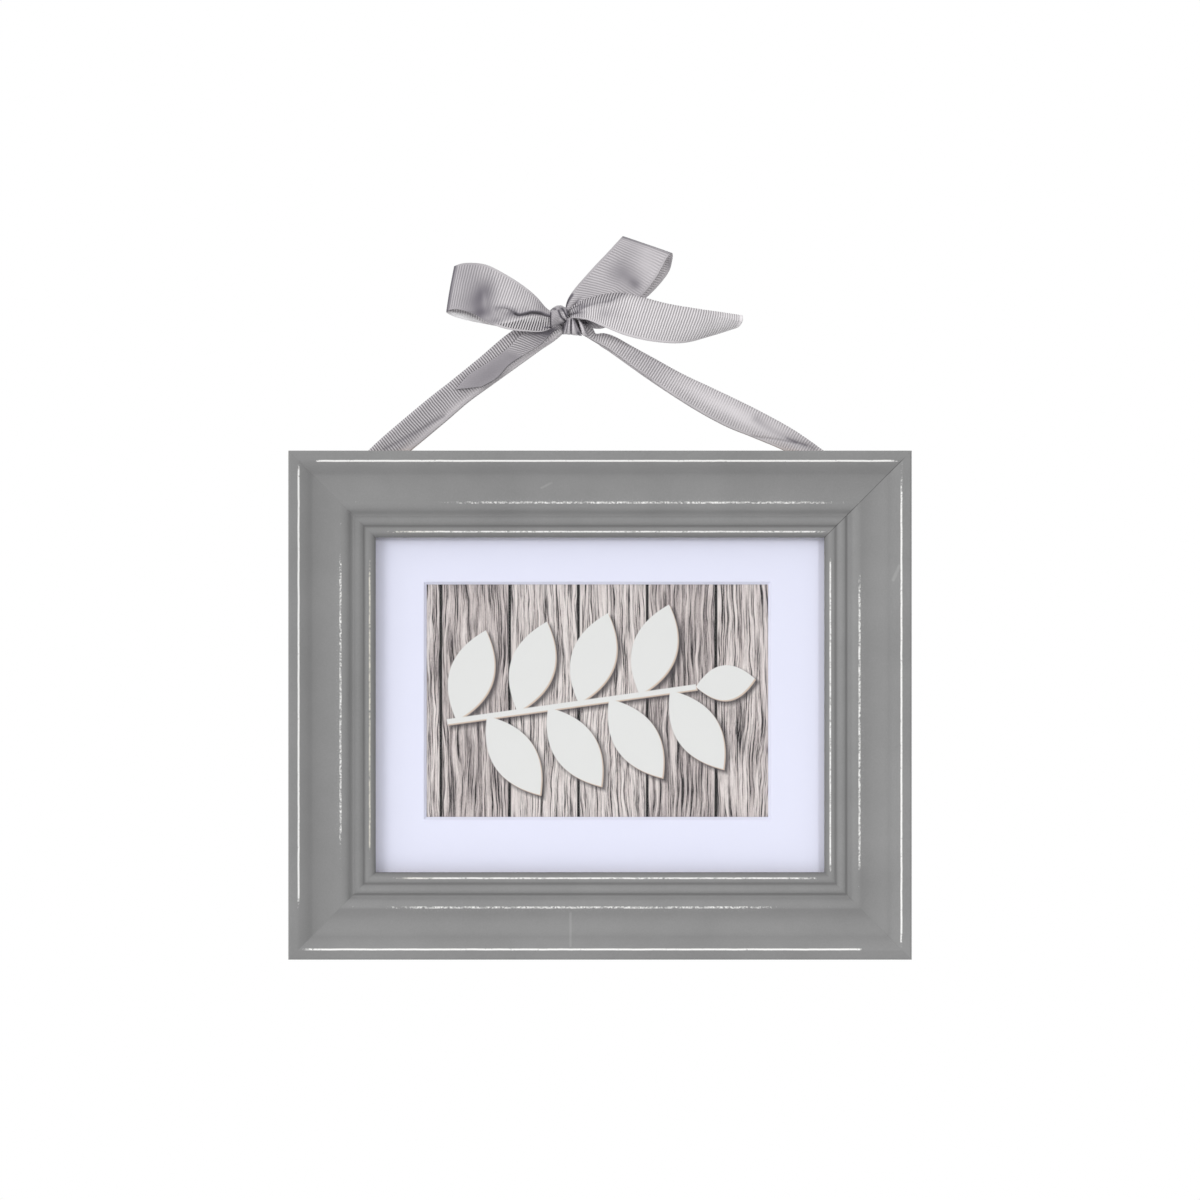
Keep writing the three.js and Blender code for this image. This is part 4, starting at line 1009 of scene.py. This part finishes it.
strand = dict(
    rows=241, columns=91, fold=1.5, lean=0.9, leanOver=(0.02, 0.42), creaseDeep=0.6, frontTurn=2.0,
    ringAt=(115.7, -65.0), corner=2.2, bow=9.0, pull=math.radians(36.5), eyeOuter=2.4, eyeInner=1.45,
    eyeHalf=math.radians(26), eyeSteps=17, eyeAround=25, eyeMiddle=12,
    left=dict(
        stations=[
            (0, 0, -3.8, 5), (0.08, 0.9, -0.2, 9), (0.178, 3.4, 0, 13.4), (0.34, 2.9, 0, 12.3),
            (0.465, 2.5, 0, 11.5), (0.59, 1.6, 0, 12.1), (0.795, 0, 0, 11.6), (0.907, -0.3, 0, 8.5),
            (1, 0, 0, 6),
        ],
        peek=[0.2, 0.3, 0.3, 0.3, 0.3, 0.3, 0.3, 0.2, 0.2], base=0.31, lower=-0.12, ribs=1.4,
        lowerRibs=0.95, behind=-0.12,
        tones=[
            ((-15.5, 8), (0.6, 1.2), 0, 1.2), ((-20.5, 3.6), (3, 2), 0.7, 0.08),
            ((-17.8, 6.6), (1.8, 1.6), 0.7, -0.5), ((-39.6, 0.2), (6, 1.6), 0.64, -0.22),
        ],
        smooth=[((-62, -25), (3, 2), 0.7, 0.2)],
        creases=[([(-66, -29), (-69.6, -31), (-78.2, -36.2), (-86.2, -40.6), (-91, -43)], 0.6, 0.32)],
        lines=[([(-24, -0.5), (-32, -6.5), (-40, -12.3)], 0.7, -0.3)],
    ),
    right=dict(
        stations=[
            (0, 0, -4, 4), (0.058, 0.2, -2.4, 5.2), (0.0914, -0.85, -1, 3.2), (0.12, 0.02, -0.4, 5.6),
            (0.151, 0.34, -0.1, 6.6), (0.2, 0, 0, 7.3), (0.284, -0.55, 0, 8.7), (0.38, -1, 0, 9.9),
            (0.477, -0.8, 0, 11.5), (0.57, -0.2, 0, 12.1), (0.65, 0.8, 0, 11.2), (0.765, 1.7, 0, 9.4),
            (0.903, 0.8, 0, 7.2), (1, 0, 0, 6),
        ],
        peek=[0.3, 0.3, 0.5, 0.9, 1.1, 1, 0.7, 0.4, 0.3, 0.2, 0.2, 0.2, 0.2, 0.2], base=0.16, lower=-0.03,
        ribs=1.1, lowerRibs=0.1, behind=0.1,
        tones=[
            ((3, 5.2), (5, 0.8), -0.35, 0.25), ((4, 2.8), (5, 2), -0.45, -0.16),
            ((20, -6), (12, 2.4), -0.5, 0.08), ((40, -17), (12, 4), -0.5, -0.10),
            ((60, -29.5), (8, 2.6), -0.45, -0.06), ((73, -35), (6, 2.2), -0.5, -0.12),
        ],
        smooth=[
            ((60, -29.0), (13, 2.8), -0.5, 0.75), ((78, -37), (9, 2.4), -0.5, 0.4),
            ((40, -18.5), (9, 1.8), -0.5, 0.3),
        ],
        creases=[
            ([(66, -30.5), (70, -33.4), (75.7, -36.8), (82.8, -39.9), (89.8, -42.3)], 1.3, 0.36),
            ([(79, -38.4), (82.8, -39.9), (87, -41.4)], 0.4, 0.35),
            ([(64, -37.4), (74, -38.7), (82.8, -40.4)], 0.35, 0.3),
        ],
        lines=[([(4, -1.5), (12, -7.2), (22, -13.4)], 0.35, 0.25)],
    ),
)


def strandLine(stations, side):
    # the share of the way from the knot to the ring, and the height above that straight line
    start = np.array(ribbon["knot"])
    ringX, ringZ = strand["ringAt"]
    contact = np.array([
        side * (ringX - strand["bow"] * math.cos(strand["pull"])),
        ringZ + strand["corner"] + strand["bow"] * math.sin(strand["pull"]),
    ])
    way = contact - start
    above = np.array([-way[1], way[0]]) * side / np.linalg.norm(way)
    places = [start + share * way + height * above for share, height, _, _ in stations]
    points = [(place[0], station[2], place[1]) for place, station in zip(places, stations)]
    return points, [station[3] for station in stations]


def addEye(name, side):
    # a sleeve round the ring's bow: the outer tube goes one way along the arc and the inner one comes back
    steps = strand["eyeSteps"]
    angles = np.linspace(-strand["eyeHalf"], strand["eyeHalf"], steps)
    along = np.concatenate([angles, angles[::-1]])[:, None]
    radius = np.repeat([strand["eyeOuter"], strand["eyeInner"]], steps)[:, None]
    direction = math.pi / 2 + side * (math.pi / 2 - strand["pull"]) + along
    around = np.linspace(0, 2 * math.pi, strand["eyeAround"])[None, :-1]
    reach = strand["bow"] + radius * np.cos(around)
    ringX, ringZ = strand["ringAt"]
    x = side * ringX + reach * np.cos(direction)
    z = ringZ + strand["corner"] + reach * np.sin(direction)
    y = np.broadcast_to(radius * np.sin(around), x.shape)
    grid = np.stack([x, y, z], axis=-1)
    across = strand["eyeMiddle"] + along * strand["bow"]
    uv = np.stack(np.broadcast_arrays(around * strand["eyeOuter"], across), axis=-1)
    values = dict(shade=np.zeros(x.shape), ribs=np.ones(x.shape))
    faces = gridFaces(x.shape, ringRows=True, ringColumns=True)
    piece = addMesh(name, grid, faces, uv, grosgrain, values)
    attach(piece, "hanger")
    return piece


def addStrand(name, node, p, side):
    # a hairpin section: the front leg goes up to a round fold and the back leg comes down behind it
    points, widths = strandLine(p["stations"], side)
    t = np.linspace(0, 1, strand["rows"])
    centre = smoothLine(points, t)
    half = smoothLine(widths, t) / 2
    toViewer = np.array([0.0, -1.0, 0.0])
    upper = unit(np.cross(np.gradient(centre, axis=0), toViewer))
    upper = upper * np.sign(upper[:, 2:])
    radius = strand["fold"]
    peek = smoothLine(p["peek"], t)
    frontLeg = 2 * half - radius - peek
    backLeg = 2 * half - radius
    s = np.linspace(0, 1, strand["columns"])[None]
    gone = s * (frontLeg + math.pi * radius + backLeg)
    turn = np.clip((gone - frontLeg) / radius, 0, math.pi)
    behind = np.maximum(gone - frontLeg - math.pi * radius, 0)
    up = -half + peek + np.minimum(gone, frontLeg) + radius * np.sin(turn) - behind
    facing = turn == 0
    bend = (1 - rise((up + half) / (2 * half), *strand["leanOver"])) * facing
    depth = radius * np.cos(turn) - strand["lean"] * bend
    grid = centre[:, None] + upper[:, None] * up[..., None] + toViewer * depth[..., None]
    x, z = grid[..., 0], grid[..., 2]
    marks = np.clip(creases(x, z, p["creases"]), 0, 1)
    grid[..., 1] += strand["creaseDeep"] * marks * facing
    # painted shade and painted light: a level for each strand, lighter on the leaning lower part, in
    # patches and along creases and lines; the back leg gets its own level
    shade = p["base"] + p["lower"] * bend + tones(x, z, p["tones"]) + marks + creases(x, z, p["lines"])
    shade = np.where(turn < strand["frontTurn"], shade, p["behind"])
    ribs = p["ribs"] * np.clip(1 - p["lowerRibs"] * bend - tones(x, z, p["smooth"]), 0, 1)
    addRibbon(name, grid, [node], shade, ribs)


knot = dict(
    around=161, across=91, middle=-5.5, tuck=0.22, tuckPower=6, margin=1.0, facing=-0.1,
    grooveWide=0.06, grooveDrop=0.3, grooveShade=0.3,
    wraps=dict(
        left=dict(
            top=((-20.9, 15.8), (-13.2, 15.8)), low=((-20.9, 8.1), (-13.8, 10.6)), crown=2.0, deep=6.4,
            base=0.50, ribs=0.9,
            valleys=[(0.47, 0.95, 0.8), (0.72, 1.02, 0.6)],
            lines=[
                ([(-17.4, 15.2), (-16.2, 12.4), (-14.5, 10.9)], 0.3, 1.2),
                ([(-16, 16.2), (-14.7, 13.9), (-13.7, 12.4)], 0.28, 1.2),
                ([(-13.9, 15.6), (-13.5, 13.7)], 0.25, 0.9), ([(-20.9, 15.4), (-20.9, 8.2)], 0.25, 1.2),
                ([(-19.9, 16.2), (-18.8, 15.9)], 0.3, 0.8),
                ([(-20.5, 8.2), (-17, 9.3), (-14.6, 10.3)], 0.35, 0.8),
                ([(-16.9, 15), (-15.6, 12.4)], 0.35, -0.25),
                ([(-15.6, 14.4), (-14.8, 12.7), (-14, 11.5)], 0.5, -0.6),
                ([(-16.6, 11.6), (-15.4, 11), (-14.6, 11)], 0.45, -0.4),
            ],
        ),
        middle=dict(
            top=((-13.9, 12.6), (-11.2, 13.0)), low=((-15.9, 5.4), (-7.6, 4.7)), crown=0.5, deep=6.6,
            base=0.30, ribs=0.35,
            valleys=[(0.3, 0.2, 0.6), (0.62, 0.44, 1.0), (0.85, 0.8, 0.6)],
            lines=[
                ([(-12.2, 11.4), (-12.3, 8), (-12.1, 5.6)], 0.24, 1.2),
                ([(-13.5, 10.8), (-14.2, 6)], 0.25, 0.5),
                ([(-10.6, 11), (-9.4, 8.5), (-8.4, 6)], 1.0, 0.45), ([(-9.3, 6), (-8.5, 4.6)], 0.3, 1.0),
                ([(-11.6, 13), (-10.5, 11.6), (-9.2, 9.5), (-7.9, 7.2)], 0.3, 1.2),
                ([(-14, 11.4), (-14.9, 8), (-15.7, 5.6)], 0.25, 0.9),
                ([(-11.4, 10.6), (-11.3, 6)], 0.3, -0.2),
            ],
        ),
        right=dict(
            top=((-9.4, 11.9), (-8.0, 11.3)), low=((-7.5, 5.2), (-4.8, 4.6)), crown=0.2, deep=5.6,
            base=0.36, ribs=0.2,
            valleys=[(0.7, 0.7, 0.4)],
            lines=[
                ([(-9, 11.4), (-7.8, 9.7), (-7.1, 7.8), (-7.3, 5.5)], 0.3, -0.3),
                ([(-7.8, 11), (-6.6, 8.8), (-4.8, 5)], 0.35, 1.0),
            ],
        ),
    ),
)


def addWrap(name, wrap):
    # once round the knot: the top and low edges are the heights of an oval, and each valley is
    # a sharp groove that runs from its share of the width at the top to another at the bottom
    angle = np.linspace(0, 2 * math.pi, knot["around"])[:-1, None]
    v = np.linspace(0, 1, knot["across"])[None]
    top = np.linspace(*wrap["top"], knot["across"])
    top[:, 1] += wrap["crown"] * np.sin(np.pi * v[0])
    low = np.linspace(*wrap["low"], knot["across"])
    down = (1 - np.cos(angle)) / 2
    tuck = 1 - knot["tuck"] * np.abs(2 * v - 1) ** knot["tuckPower"]
    x = top[:, 0] * (1 - down) + low[:, 0] * down
    centre = (top[:, 1] + low[:, 1]) / 2
    tall = (top[:, 1] - low[:, 1]) / 2
    groove = np.zeros(x.shape)
    for start, end, depth in wrap["valleys"]:
        away = np.abs(v - (start + (end - start) * down))
        groove = np.maximum(groove, depth * np.exp(-away / knot["grooveWide"]))
    z = centre + tall * np.cos(angle) * (1 - knot["grooveDrop"] * groove / tall)
    y = knot["middle"] - wrap["deep"] * np.sin(angle) * (tuck - groove / wrap["deep"])
    grid = np.stack([x, y, z], axis=-1)
    facing = np.sin(angle) > knot["facing"]
    # painted shade on each wrap, with painted dark and light lines on its front and painted shade in the
    # grooves
    shade = wrap["base"] + facing * creases(x, z, wrap["lines"])
    shade += knot["grooveShade"] * np.clip(groove, 0, 1)
    across = knot["margin"] + (ribbon["wide"] - 2 * knot["margin"]) * v
    uv = np.stack(np.broadcast_arrays(wrap["deep"] * angle, across), axis=-1).transpose(1, 0, 2)
    values = dict(shade=shade.T, ribs=wrap["ribs"] + 0 * shade.T)
    piece = addTube(name, grid.transpose(1, 0, 2), uv, grosgrain, values)
    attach(piece, "hanger")
    return piece


wraps = {side: addWrap("knot_wrap_" + side, wrap) for side, wrap in knot["wraps"].items()}
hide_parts("bow_knot")
addLeftLoop()
addRightLoop()
addRightTail()
addLeftTail()
leftEye = addEye("left_eye_cloth", -1)
rightEye = addEye("right_eye_cloth", 1)
addStrand("left_strand_cloth", "ribbon_left_strand", strand["left"], -1)
addStrand("right_strand_cloth", "ribbon_right_strand", strand["right"], 1)
print("ribbon tied")
